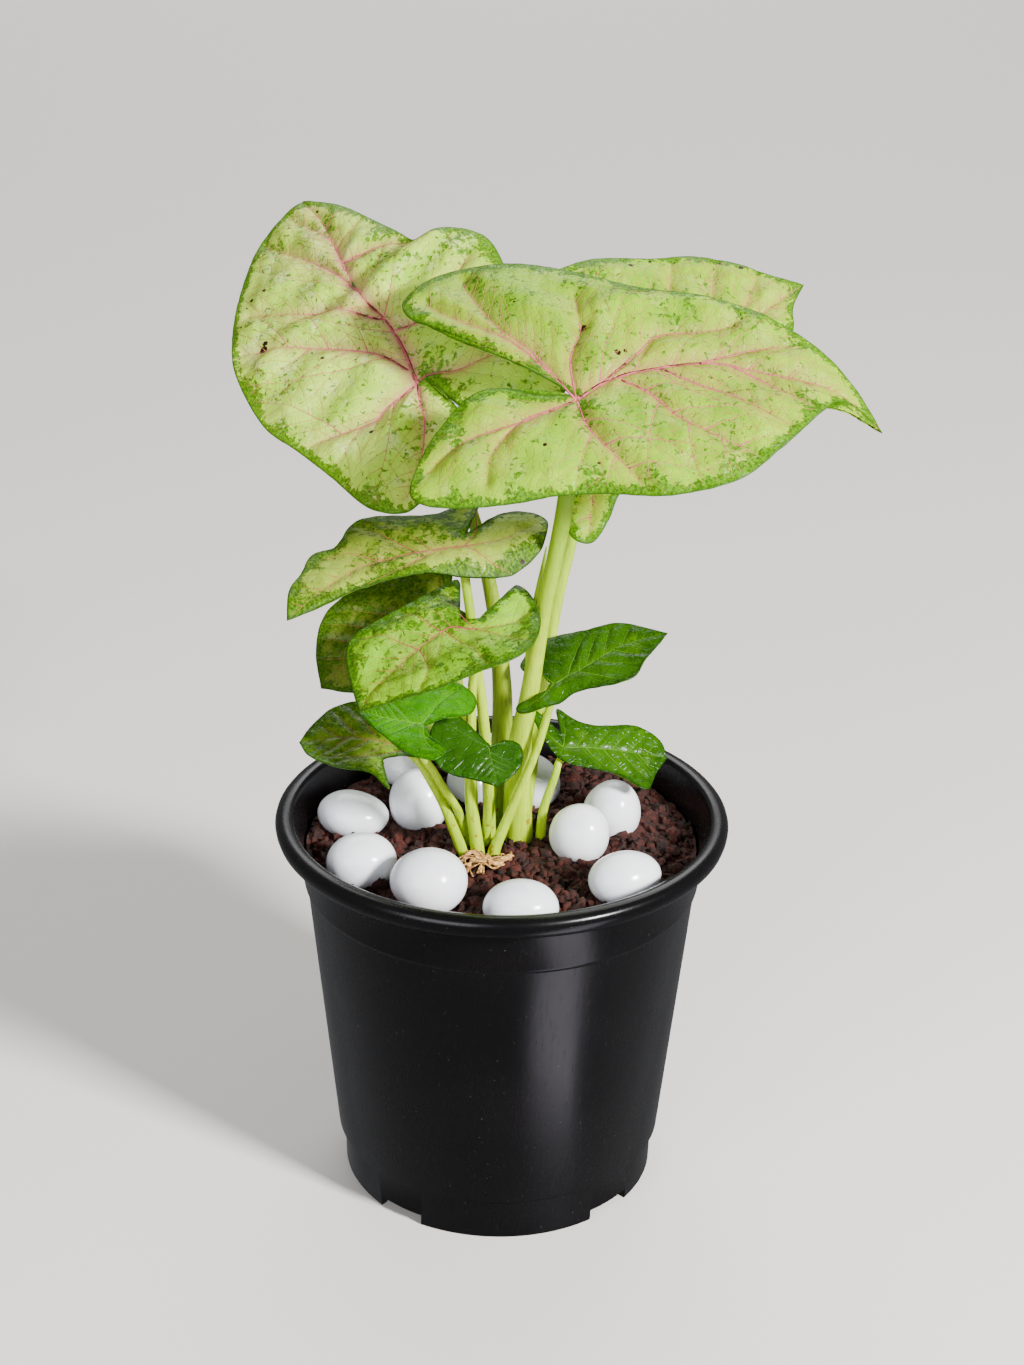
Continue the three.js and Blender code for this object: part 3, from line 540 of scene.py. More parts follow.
# The midrib's width, and for each vein its width at the start and the end as shares of that,
# with how strongly it marks the blade
LARGE_MIDRIB, SLIM_MIDRIB = 1.35, 0.8
VEIN_KINDS = {"midrib": (1.0, 0.18, 1.0), "rib": (0.66, 0.18, 1.0),
              "between": (0.42, 0.12, 0.75), "branch": (0.22, 0.1, 0.25)}
MARCH_STEP = 1.0
EDGE_KEEP = 1.2
VEIN_KEEP = 1.1
# Lines with fewer points than these are cut into shorter steps
FEW_RIB_POINTS, FEW_LINE_POINTS = 12, 14


def is_large(leaf):
    return leaf["length"] > LARGE_BLADE


def inside(outline, places):
    """For each place, True where it lies inside the closed outline."""
    x, y = places[:, 0][:, None], places[:, 1][:, None]
    x0, y0 = outline[:, 0], outline[:, 1]
    x1, y1 = np.roll(x0, -1), np.roll(y0, -1)
    rise = np.where(y1 == y0, 1, y1 - y0)
    crosses = ((y0 > y) != (y1 > y)) & (x < (x1 - x0) * (y - y0) / rise + x0)
    return crosses.sum(axis=1) % 2 == 1


def grow(outline, start, angle, turn, reach, others):
    """A branch from start. It heads along angle and turns by turn radians each millimetre."""
    line = [np.array(start, float)]
    while len(line) * MARCH_STEP < reach:
        ahead = line[-1] + (MARCH_STEP + EDGE_KEEP) * np.array([math.cos(angle), math.sin(angle)])
        if not inside(outline, ahead[None])[0]:
            break
        if len(line) > 4 and np.linalg.norm(others - line[-1], axis=1).min() < VEIN_KEEP:
            break
        line.append(line[-1] + MARCH_STEP * np.array([math.cos(angle), math.sin(angle)]))
        angle += turn * MARCH_STEP
    return np.array(line)


def branches(outline, rib, spacing, others, opening, turn, reach):
    """Branches on alternate sides of a rib, which stop where they meet one of the others."""
    grown = []
    places, _ = even_line(rib, 12 * len(rib))
    run = np.concatenate([[0], np.cumsum(np.linalg.norm(np.diff(places, axis=0), axis=1))])
    at = spacing * BARE_START
    side = 1
    while at < run[-1] - spacing * BARE_END:
        i = int(np.searchsorted(run, at))
        ahead = places[min(i + 1, len(places) - 1)] - places[i - 1]
        angle = math.atan2(ahead[1], ahead[0])
        line = grow(outline, places[i], angle + side * opening, -side * turn, reach, others)
        if len(line) > 3:
            grown.append(line)
        side = -side
        at += spacing / 2
    return grown


def spread_out(lines):
    """All the points of several ribs, each rib cut into short steps."""
    return np.vstack([even_line(line, 6 * len(line))[0] if len(line) < FEW_LINE_POINTS else line
                      for line in lines])


def vein(line, kind, wide):
    """A vein: its line, its width at the start and the end, and its strength."""
    start, end, strength = VEIN_KINDS[kind]
    return line, start * wide, end * wide, strength


def blade_veins(name, leaf):
    """All the veins of a blade, the midrib first."""
    outline, _ = blade_edge(leaf, 160)
    large = is_large(leaf)
    wide = LARGE_MIDRIB if large else SLIM_MIDRIB
    strong = [np.array(rib, float) for rib in RIBS[name]]
    if len(strong) <= 3:
        strong += branches(outline, strong[0], RIB_SPACING_SHARE * leaf["length"],
                           spread_out(strong[1:]), **SIDE_RIB)
    veins = []
    for number, rib in enumerate(strong):
        line = even_line(rib, 8 * (len(rib) - 1))[0] if len(rib) < FEW_RIB_POINTS else rib
        veins.append(vein(line, "rib" if number else "midrib", wide))
    known = spread_out(strong)
    between = []
    for rib in strong[:3] if large else strong[:1]:
        between += branches(outline, rib, BETWEEN_SPACING_SHARE * leaf["length"], known,
                            **BETWEEN_RIB)
    veins += [vein(line, "between", wide) for line in between]
    known = spread_out(strong + between)
    spacing = BRANCH_SPACING if large else CLOSER * BRANCH_SPACING
    for rib in strong + between:
        fine = branches(outline, rib, spacing, known, **(LARGE_BRANCH if large else SHORT_BRANCH))
        veins += [vein(line, "branch", wide) for line in fine]
    return veins


# %% [markdown]
# ## Leaves: the mesh
#
# Each blade is a fan of rings round a point that sees its whole edge, dense enough to carry the
# veins in its shape: each vein lies in a groove and the flesh between swells like a quilt. How
# near a vertex is to the strong ribs and to the edge is kept on it, so that the colours follow
# the surface. The underside has half the rings. Between both runs a thin rounded edge.

# %% Building a blade
BLADE_THICKNESS = 0.5
GROOVE_DEPTH = 0.45
SMALL_GROOVE_DEPTH = 0.15
GROOVE_HALF = 0.9
EDGE_INSET = 0.22
# How far from a vein its groove and its flush are worked out, and what counts as far
VEIN_REACH = 14
FAR = 99.0
# The flush round a strong rib: its half width at least and for each millimetre of the rib's
# width, how steeply it ends, and how much it has faded at the rib's end
FLUSH_HALF, FLUSH_SPREAD, FLUSH_FALL, FLUSH_FADE = 0.8, 1.9, 1.3, 0.7
# The swelling between the veins, how wide a panel's slope and the flat margin are, all as
# shares of the blade's length, and how much the swelling varies
SWELL_SHARE = 0.021
SMALL_SWELL_SHARE = 0.012
PANEL_SHARE = 0.038
MARGIN_SHARE = 0.08
SWELL_VARIES = 0.35
RIPPLE_STEP = 1.5
PUCKER = 0.12
# What the vertex in the middle of a blade keeps
HEART_FIELDS = {"glow": 1.0, "margin": 30.0, "speck": 0.0}
# Places round the edge, and rings
MESH_SIZES = {"large": (500, 96), "middle": (360, 64), "small": (240, 44)}


def line_distance(places, line):
    """Each place's distance to a line of points, and how far along it that is, from 0 to 1."""
    start, end = line[:-1], line[1:]
    span = end - start
    length = np.maximum(np.linalg.norm(span, axis=1), 1e-6)
    share = np.einsum("psk,sk->ps", places[:, None] - start, span) / length**2
    share = np.clip(share, 0, 1)
    gap = np.linalg.norm(places[:, None] - start - share[..., None] * span, axis=2)
    nearest = gap.argmin(axis=1)
    rows = np.arange(len(places))
    before = np.concatenate([[0], np.cumsum(length)])
    reached = before[nearest] + share[rows, nearest] * length[nearest]
    return gap[rows, nearest], reached / before[-1]


def vein_fields(places, veins):
    """For each place: the groove's share, the flush round the strong veins, and their distance."""
    groove = np.zeros(len(places))
    glow = np.zeros(len(places))
    nearest = np.full(len(places), FAR)
    for line, wide, _, strength in veins:
        low, high = line.min(axis=0) - VEIN_REACH, line.max(axis=0) + VEIN_REACH
        near = np.flatnonzero(((places > low) & (places < high)).all(axis=1))
        gap, reached = line_distance(places[near], line)
        groove[near] = np.maximum(groove[near], strength * np.exp(-(gap / GROOVE_HALF) ** 2))
        if strength == 1.0:
            near_rib = np.exp(-(gap / (FLUSH_HALF + FLUSH_SPREAD * wide)) ** FLUSH_FALL)
            fading = near_rib * (1 - FLUSH_FADE * reached) * min(1, wide)
            glow[near] = np.maximum(glow[near], fading)
            nearest[near] = np.minimum(nearest[near], gap)
    return groove, glow, nearest


# Creases and swellings that only some blades have: a line, its height and its reach to each side
FOLDS = {
    "leaf_back_left": [
        ([(45, -20), (40, -6), (36.5, 5), (33.5, 16), (32, 27), (31, 33)], 2.0, 4.0),
        ([(51, -17), (46.5, -4), (43.5, 6), (40.5, 17), (39, 28)], -1.1, 3.0),
        ([(-12, 6), (-24, 12), (-31, 20)], 0.9, 4.0)],
    "leaf_front_right": [
        ([(6.4, 26.9), (14.8, 30.4), (25.5, 29.9), (36, 28.1), (50, 19)], 2.0, 4.5),
        ([(4, 24.6), (4.8, 24.7)], -2.2, 3.0),
        ([(-30, -12), (-22, -22), (-10, -26)], 1.2, 6.0),
        ([(14, -14), (24, -18)], 1.0, 7.0)],
    "leaf_middle_left": [
        ([(30, -8), (20, -10), (8, -10)], 1.0, 4.0)],
    "leaf_middle_front": [
        ([(2, -9), (10, -12), (22, -12), (30, -8)], 1.6, 3.5),
        ([(-13, 2), (-9, 8)], -1.5, 4.0),
        ([(4, 9), (14, 10), (24, 8)], 0.9, 3.5)],
    "leaf_low_right": [
        ([(22, -6), (10, -6), (0, -6)], -2.2, 3.2)],
}


def surface_normals(grid, up):
    """The normals of a grid of rings by places, all turned to the side that up is on."""
    outwards = np.gradient(grid, axis=0)
    around = np.roll(grid, -1, axis=1) - np.roll(grid, 1, axis=1)
    normals = np.cross(outwards, around)
    normals[0] = up
    normals /= np.maximum(np.linalg.norm(normals, axis=2, keepdims=True), 1e-9)
    return normals * np.where((normals @ up) < 0, -1, 1)[..., None]


def blade_sheet(name, leaf, around, rings):
    """The blade's middle surface as rings of places, with each vertex's fields."""
    edge, where = blade_edge(leaf, around)
    heart = np.array(leaf["heart"], float)
    share = np.linspace(0, 1, rings + 1)[1:]
    flat = heart + share[:, None, None] * (edge - heart)
    reach = np.linalg.norm(edge - heart, axis=1)
    flat[-1] = heart + (1 - EDGE_INSET / reach)[:, None] * (edge - heart)
    flat = np.concatenate([flat, edge[None]])
    share = np.append(share, 1.0)
    places = flat.reshape(-1, 2)
    veins = blade_veins(name, leaf)
    groove, glow, gap = (kept.reshape(flat.shape[:2]) for kept in vein_fields(places, veins))
    margin, _ = line_distance(places, np.vstack([edge[::4], edge[:1]]))
    margin = margin.reshape(flat.shape[:2])
    along, across = flat[..., 0], flat[..., 1]
    size = leaf["length"]
    panel = 1 - np.exp(-(gap / (PANEL_SHARE * size)) ** 2)
    panel = panel * np.clip(margin / (MARGIN_SHARE * size), 0, 1)
    uneven = 1 + SWELL_VARIES * np.sin(0.31 * along + 0.23 * across + size)
    swell = (SWELL_SHARE if is_large(leaf) else SMALL_SWELL_SHARE) * size * panel * uneven
    ripple = leaf["wave"] * share[:, None] ** 2 * np.sin(RIPPLE_STEP * where)
    pucker = PUCKER * np.sin(0.9 * along + 0.5 * across) * np.sin(0.7 * across - 0.4 * along)
    depth = GROOVE_DEPTH if is_large(leaf) else SMALL_GROOVE_DEPTH
    relief = swell + ripple + pucker - depth * groove
    for line, height, spread in FOLDS.get(name, []):
        off, _ = line_distance(places, np.array(line, float))
        relief += height * np.exp(-(off.reshape(relief.shape) / spread) ** 2)
    return dict(grid=on_blade(leaf, along, across, relief), flat=flat, glow=glow,
                margin=margin, veins=veins)


def blade_layers(sheet, leaf):
    """The vertices, faces and vertex fields of the closed blade."""
    grid, flat = sheet["grid"], sheet["flat"]
    rows, count = grid.shape[:2]
    rings = rows - 1
    up = blade_axes(leaf)[2]
    normals = surface_normals(grid, up)
    heart = np.array(leaf["heart"], float)
    middle = on_blade(leaf, heart[0], heart[1])
    half = BLADE_THICKNESS / 2
    under_rows = np.arange(rings - 1, 0, -2)
    top = (grid[:rings] + half * normals[:rings]).reshape(-1, 3)
    below = (grid[under_rows] - half * normals[under_rows])[:, ::2].reshape(-1, 3)
    vertices = np.vstack([middle + half * up, top, grid[rings], below, middle - half * up])
    rim = 1 + rings * count
    low = rim + count
    low_count = count // 2
    last = len(vertices) - 1
    i = np.arange(count)
    ahead = (i + 1) % count
    faces = [np.stack([np.zeros_like(i), 1 + ahead, 1 + i], axis=1)]
    for row in range(rings):
        here, out = 1 + row * count, 1 + (row + 1) * count
        faces.append(np.stack([here + i, here + ahead, out + ahead, out + i], axis=1))
    j = np.arange(low_count)
    j_ahead = (j + 1) % low_count
    edge_next = (2 * j + 2) % count
    faces.append(np.stack([rim + 2 * j, rim + 2 * j + 1, low + j], axis=1))
    faces.append(np.stack([rim + 2 * j + 1, rim + edge_next, low + j_ahead, low + j], axis=1))
    for row in range(len(under_rows) - 1):
        out, here = low + row * low_count, low + (row + 1) * low_count
        faces.append(np.stack([out + j, out + j_ahead, here + j_ahead, here + j], axis=1))
    innermost = low + (len(under_rows) - 1) * low_count
    faces.append(np.stack([innermost + j, innermost + j_ahead, np.full_like(j, last)], axis=1))

    def spread(kept, centre):
        return np.concatenate([[centre], kept[:rings].ravel(), kept[rings],
                               kept[under_rows][:, ::2].ravel(), [centre]])

    fields = {name: spread(sheet[name], centre) for name, centre in HEART_FIELDS.items()}
    fields["along"] = spread(flat[..., 0], heart[0])
    fields["across"] = spread(flat[..., 1], heart[1])
    fields["under"] = np.concatenate([np.zeros(low), np.ones(len(vertices) - low)])
    return vertices, [face.tolist() for block in faces for face in block], fields


def mesh_object(name, vertices, faces, material):
    """A smooth object at the origin from vertices in millimetres."""
    mesh = bpy.data.meshes.new(name)
    mesh.from_pydata((np.asarray(vertices) * MM).tolist(), [], faces)
    mesh.shade_smooth()
    mesh.materials.append(material)
    made = bpy.data.objects.new(name, mesh)
    bpy.context.collection.objects.link(made)
    return made


def keep_fields(mesh, fields, seed):
    """Stores the fields on the mesh's vertices, with the flat place as one vector."""
    place = np.stack([fields.pop("along"), fields.pop("across"),
                      np.full(len(mesh.vertices), float(seed))], axis=1)
    flat = mesh.attributes.new("blade_place", "FLOAT_VECTOR", "POINT")
    flat.data.foreach_set("vector", place.ravel())
    for name, values in fields.items():
        layer = mesh.attributes.new(name, "FLOAT", "POINT")
        layer.data.foreach_set("value", values)


# Brown specks, each with its place on the blade and its radius
SPECKS = {
    "leaf_back_left": [(34.2, 35.8, 1.5), (36, 34.5, 1.0), (57.1, 29.3, 0.8), (56.8, 33.9, 0.8),
                       (55, 36, 0.6), (20.7, 21.2, 0.7), (-10, 16.7, 0.8), (80, 16.2, 0.6),
                       (47.6, 39.4, 0.6), (82.4, 6.4, 0.6)],
    "leaf_front_right": [(-9.4, -15.1, 0.7), (3.9, -22.8, 0.6), (4.2, 24, 1.3),
                         (12.4, 12.8, 0.9), (14.4, 13.5, 0.6), (-13.3, 36.1, 0.5),
                         (20.3, 31.5, 0.6), (44, 18, 0.6)],
    "leaf_back_right": [(29.3, 33.2, 0.9), (59.2, 19.5, 0.9), (35.9, 32.7, 0.6),
                        (54.6, 23.5, 0.6)],
    "leaf_middle_left": [(-14.5, 6.4, 0.7), (35.2, -3.6, 0.5), (22.3, -6.6, 0.5)],
}
# A speck has faded away at this many times its radius
SPECK_END = 1.5


def make_blade(name, leaf, material, seed):
    small = leaf["length"] < SMALL_BLADE
    around, rings = MESH_SIZES["large" if is_large(leaf) else "small" if small else "middle"]
    sheet = blade_sheet(name, leaf, around, rings)
    speck = np.zeros(sheet["flat"].shape[:2])
    for along, across, radius in SPECKS.get(name, []):
        gap = np.hypot(sheet["flat"][..., 0] - along, sheet["flat"][..., 1] - across)
        speck = np.maximum(speck, np.clip(SPECK_END - gap / radius, 0, 1))
    sheet["speck"] = speck
    vertices, faces, fields = blade_layers(sheet, leaf)
    blade = mesh_object(name + "_blade", vertices, faces, material)
    keep_fields(blade.data, fields, seed)
    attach(blade, "root")
    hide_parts(name)
    return blade, sheet["veins"]


# %% [markdown]
# ## Leaves: the finish
#
# A living blade is waxy on top, with soft highlights, and lets some light through. This kind is
# pale yellow-green in the middle and green at the edge, where the colour breaks up into dabs of
# under 2 mm, and its veins are flushed pink. The dabs are noise that is pushed over a
# threshold near the edge, so all of it follows the blade's own flat place.

# %% Layers of colour
# Sockets of the mix node for colours. It has others of the same names for numbers
MIX_FACTOR, MIX_A, MIX_B, MIX_OUT = 0, 6, 7, 2
# How much the finer detail of a noise counts, unless a material says otherwise
EVEN_DETAIL = 0.55


def new_material(name, roughness, ior=1.45):
    """A material with its tree and its shader. Nothing else is set."""
    material = bpy.data.materials.new(name)
    material.use_nodes = True
    shader = material.node_tree.nodes["Principled BSDF"]
    fill_sockets(material.node_tree, shader, {"Roughness": roughness, "IOR": ior})
    return material, material.node_tree, shader


def lay_colours(tree, base, layers):
    """Lays colours over a base, each a hex string or a socket. A layer is a pattern, two values
    of it, the share of the colour at each of those, and the colour."""
    for pattern, low, high, start, end, colour in layers:
        share = add_node(tree, "ShaderNodeMapRange",
                         {"Value": pattern, "From Min": low, "From Max": high,
                          "To Min": start, "To Max": end}, interpolation_type="SMOOTHSTEP")
        laid = add_node(tree, "ShaderNodeMix",
                        {MIX_FACTOR: share.outputs["Result"], MIX_A: base, MIX_B: colour},
                        data_type="RGBA")
        base = laid.outputs[MIX_OUT]
    return base


# %% The blade material
SPECK_BROWN = "#2e1408"
LIGHT_THROUGH = 0.22


def blade_material(name, flesh, deep, light, edge, edge_bright, flush, flushed, mottled, back,
                   gloss):
    """Colours are hex strings. flushed is how pink the flush gets, mottled how far dabs reach."""
    material, tree, shader = new_material(name, roughness=gloss)
    where = add_node(tree, "ShaderNodeAttribute", attribute_name="blade_place").outputs["Vector"]
    margin, glow, speck, under = (
        add_node(tree, "ShaderNodeAttribute", attribute_name=kept).outputs["Fac"]
        for kept in ("margin", "glow", "speck", "under"))

    # Patterns, with their sizes in millimetres
    broad, patch, dabs, fine = (
        add_node(tree, "ShaderNodeTexNoise",
                 {"Vector": where, "Scale": 1 / size, "Detail": detail, "Roughness": roughness,
                  "Distortion": distortion}).outputs["Fac"]
        for size, detail, roughness, distortion in (
            (14, 2, EVEN_DETAIL, 0), (7, 2, EVEN_DETAIL, 0), (1.7, 5, 0.62, 0.6),
            (0.7, 3, EVEN_DETAIL, 0)))
    net = add_node(tree, "ShaderNodeTexVoronoi", {"Vector": where, "Scale": 1 / 2.2},
                   feature="DISTANCE_TO_EDGE").outputs["Distance"]
    net_line, border, inward, clouded, shine = (
        add_node(tree, "ShaderNodeMapRange",
                 {"Value": pattern, "From Min": low, "From Max": high, "To Min": start,
                  "To Max": end}, interpolation_type="SMOOTHSTEP").outputs["Result"]
        for pattern, low, high, start, end in (
            (net, 0.0, 0.10, 1.0, 0.0), (margin, 0.0, 4.4, 0.32, 0.02),
            (margin, 3.0, 16.0, 1.0, 0.15), (broad, 0.42, 0.62, -0.10, 0.13),
            (dabs, 0.3, 0.7, gloss - 0.05, gloss + 0.1)))

    # The flesh, the net in it and the flush round the ribs
    flushing = add_node(tree, "ShaderNodeMath", {0: glow, 1: flushed}, operation="MULTIPLY")
    flesh_colour = lay_colours(tree, flesh, [
        (broad, 0.38, 0.64, 0, 1, deep), (patch, 0.48, 0.72, 0, 0.55, light),
        (net, 0.0, 0.10, 0.3, 0.0, deep)])
    pink = add_node(tree, "ShaderNodeMix",
                    {MIX_FACTOR: flushing.outputs[0], MIX_A: flesh_colour, MIX_B: flush},
                    data_type="RGBA")

    # The green dabs, pushed over their threshold near the edge, the edge and the specks
    patchy = add_node(tree, "ShaderNodeMath", {0: clouded, 1: inward}, operation="MULTIPLY")
    bordered = add_node(tree, "ShaderNodeMath", {0: dabs, 1: border}, operation="ADD")
    pushed = add_node(tree, "ShaderNodeMath", {0: bordered.outputs[0], 1: patchy.outputs[0]},
                      operation="ADD")
    half_fine = add_node(tree, "ShaderNodeMath", {0: fine, 1: 0.5}, operation="MULTIPLY")
    ragged = add_node(tree, "ShaderNodeMath", {0: speck, 1: half_fine.outputs[0]}, operation="ADD")
    green = lay_colours(tree, edge, [(fine, 0.35, 0.65, 0, 1, edge_bright)])
    top = lay_colours(tree, pink.outputs[MIX_OUT], [
        (pushed.outputs[0], 0.62 - mottled, 0.70 - mottled, 0, 0.95, green),
        (margin, 0.1, 0.8, 0.85, 0.0, edge), (ragged.outputs[0], 0.75, 0.95, 0, 1, SPECK_BROWN)])

    # The pale underside, the bump and the light that comes through
    pale = add_node(tree, "ShaderNodeMix", {MIX_FACTOR: 0.6, MIX_A: top, MIX_B: back},
                    data_type="RGBA")
    both = add_node(tree, "ShaderNodeMix",
                    {MIX_FACTOR: under, MIX_A: top, MIX_B: pale.outputs[MIX_OUT]},
                    data_type="RGBA")
    colour = both.outputs[MIX_OUT]
    height = add_node(tree, "ShaderNodeMath", {0: half_fine.outputs[0], 1: net_line},
                      operation="SUBTRACT")
    bump = add_node(tree, "ShaderNodeBump",
                    {"Strength": 0.5, "Distance": 0.00015, "Height": height.outputs[0]})
    normal = bump.outputs["Normal"]
    fill_sockets(tree, shader, {"Base Color": colour, "Specular IOR Level": 0.25,
                                "Roughness": shine, "Normal": normal})
    through = add_node(tree, "ShaderNodeBsdfTranslucent", {"Color": colour, "Normal": normal})
    blend = add_node(tree, "ShaderNodeMixShader",
                     {0: LIGHT_THROUGH, 1: shader.outputs["BSDF"], 2: through.outputs["BSDF"]})
    tree.links.new(blend.outputs["Shader"], tree.nodes["Material Output"].inputs["Surface"])
    return material


BLUSH_BLADE = blade_material(
    "living leaf, pale with a pink blush", flesh="#cceb54", deep="#a8dc20", light="#ecf2a4",
    edge="#3c6a00", edge_bright="#70a400", flush="#cc7078", flushed=0.95, mottled=0.04,
    back="#b4cc50", gloss=0.36)
PALE_BLADE = blade_material(
    "living leaf, pale with pink veins", flesh="#a0cc0c", deep="#80b400", light="#c2d858",
    edge="#345e00", edge_bright="#649a00", flush="#c47664", flushed=0.75, mottled=0.04,
    back="#a8c850", gloss=0.34)
SOFT_BLADE = blade_material(
    "living leaf, soft green with pink midrib", flesh="#98d400", deep="#74b000", light="#b8dc44",
    edge="#2e5400", edge_bright="#548a00", flush="#ac6c4c", flushed=0.4, mottled=0.05,
    back="#98bc44", gloss=0.30)
DULL_BLADE = blade_material(
    "living leaf, dull olive with pink midrib", flesh="#a0b838", deep="#7c9c1c", light="#b8be58",
    edge="#284c00", edge_bright="#5c8600", flush="#a4604c", flushed=0.5, mottled=0.07,
    back="#90a83c", gloss=0.38)
OLIVE_BLADE = blade_material(
    "living leaf, dark olive", flesh="#76882a", deep="#546c12", light="#8a943c",
    edge="#284600", edge_bright="#486e00", flush="#7a5a2c", flushed=0.3, mottled=0.06,
    back="#788c30", gloss=0.34)
FRESH_OLIVE_BLADE = blade_material(
    "living leaf, olive green", flesh="#76a01c", deep="#587c08", light="#90ac34",
    edge="#2c5000", edge_bright="#507c00", flush="#886a2c", flushed=0.3, mottled=0.0,
    back="#7c9c34", gloss=0.3)
BRIGHT_BLADE = blade_material(
    "living leaf, bright young green", flesh="#3e8a00", deep="#2c6e00", light="#58a004",
    edge="#245a00", edge_bright="#3e7c00", flush="#6ca41c", flushed=0.35, mottled=-0.08,
    back="#6ca028", gloss=0.22)
GRASS_BLADE = blade_material(
    "living leaf, deep grass green", flesh="#306000", deep="#204600", light="#4a7c00",
    edge="#1c4000", edge_bright="#305c00", flush="#5c8410", flushed=0.35, mottled=-0.06,
    back="#648c20", gloss=0.24)
DEEP_BLADE = blade_material(
    "living leaf, deep bluish green", flesh="#2a5408", deep="#1a3e04", light="#3c6412",
    edge="#183e04", edge_bright="#2c5c08", flush="#4c7c24", flushed=0.2, mottled=-0.08,
    back="#4c7c34", gloss=0.24)
BLADE_FINISH = {
    "leaf_back_left": BLUSH_BLADE, "leaf_front_right": PALE_BLADE, "leaf_back_right": PALE_BLADE,
    "leaf_middle_left": DULL_BLADE, "leaf_middle_front": SOFT_BLADE,
    "leaf_behind_left": OLIVE_BLADE, "leaf_low_left": FRESH_OLIVE_BLADE,
    "leaf_low_bright": BRIGHT_BLADE, "leaf_low_heart": DEEP_BLADE,
    "leaf_low_right": GRASS_BLADE, "leaf_lowest_right": GRASS_BLADE,
}

# %% Make the blades
BLADES = {}
VEINS = {}
for seed, (name, leaf) in enumerate(LEAVES.items()):
    BLADES[name], VEINS[name] = make_blade(name, leaf, BLADE_FINISH[name], seed)
    print(name, len(BLADES[name].data.vertices), "vertices")

# %% [markdown]
# ## Leaves: the veins as strips
#
# The veins are too fine for the blade's own mesh, so each one is a slim tapering strip that is
# laid on the blade. A ray dropped on the blade finds the surface under each point of a strip.
# The strip is domed by a few hundredths of a millimetre, and its sides go into the blade.

# %% Laying the veins
VEIN_DOME = 0.07
VEIN_SINK = 0.05
DROP_HEIGHT = 8.0
# How soon a vein tapers, and how much of its flush it has lost at its end
TAPER = 0.7
FLUSH_LOST = 0.6


def lay_veins(name, leaf, blade, veins, material):
    """All the veins of a blade as one object of closed strips, three vertices at each place."""
    tree = BVHTree.FromPolygons([v.co for v in blade.data.vertices],
                                [p.vertices for p in blade.data.polygons])
    up = Vector(blade_axes(leaf)[2])
    vertices, faces, flush = [], [], []
    for line, wide, narrow, strength in veins:
        step = np.gradient(line, axis=0)
        side = np.stack([-step[:, 1], step[:, 0]], axis=1)
        side /= np.maximum(np.linalg.norm(side, axis=1, keepdims=True), 1e-9)
        reached = np.linspace(0, 1, len(line))
        half = 0.5 * (wide + (narrow - wide) * reached**TAPER)[:, None]
        rows = []
        for shift, lift in ((-half, -VEIN_SINK), (0, VEIN_DOME), (half, -VEIN_SINK)):
            flat = line + shift * side
            above = on_blade(leaf, flat[:, 0], flat[:, 1], DROP_HEIGHT)
            row = []
            for place in above:
                hit, normal, _, _ = tree.ray_cast(Vector(place) * MM, -up, 2 * DROP_HEIGHT * MM)
                row.append(None if hit is None else np.array(hit) / MM + lift * np.array(normal))
            rows.append(row)
        good = [i for i in range(len(line)) if all(row[i] is not None for row in rows)]
        if len(good) < 3:
            continue
        first = len(vertices)
        for i in good:
            vertices += [row[i] for row in rows]
            flush += [strength * (1 - FLUSH_LOST * reached[i])] * 3
        for i in range(len(good) - 1):
            a = first + 3 * i
            for left, right in ((0, 1), (1, 2), (2, 0)):
                faces.append((a + left, a + right, a + right + 3, a + left + 3))
        last = first + 3 * (len(good) - 1)
        faces += [(first + 2, first + 1, first), (last, last + 1, last + 2)]
    made = mesh_object(name + "_veins", vertices, faces, material)
    layer = made.data.attributes.new("flush", "FLOAT", "POINT")
    layer.data.foreach_set("value", flush)
    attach(made, "root")
    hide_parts(name)
    return made


def vein_material(name, base, end, gloss):
    """A vein, coloured base where it is strong and end where it is fine."""
    material, tree, shader = new_material(name, roughness=gloss)
    flush = add_node(tree, "ShaderNodeAttribute", attribute_name="flush").outputs["Fac"]
    place = add_node(tree, "ShaderNodeTexCoord").outputs["Object"]
    uneven = add_node(tree, "ShaderNodeTexNoise", {"Vector": place, "Scale": 1 / 0.003,
                                                   "Detail": 3, "Roughness": EVEN_DETAIL})
    stray = add_node(tree, "ShaderNodeMapRange",
                     {"Value": uneven.outputs["Fac"], "From Min": 0.3, "From Max": 0.7,
                      "To Min": -0.12, "To Max": 0.12}, interpolation_type="SMOOTHSTEP")
    strength = add_node(tree, "ShaderNodeMath", {0: flush, 1: stray.outputs["Result"]},
                        operation="ADD")
    colour = lay_colours(tree, end, [(strength.outputs[0], 0.1, 0.85, 0, 1, base)])
    fill_sockets(tree, shader, {"Base Color": colour, "Specular IOR Level": 0.25})
    return material


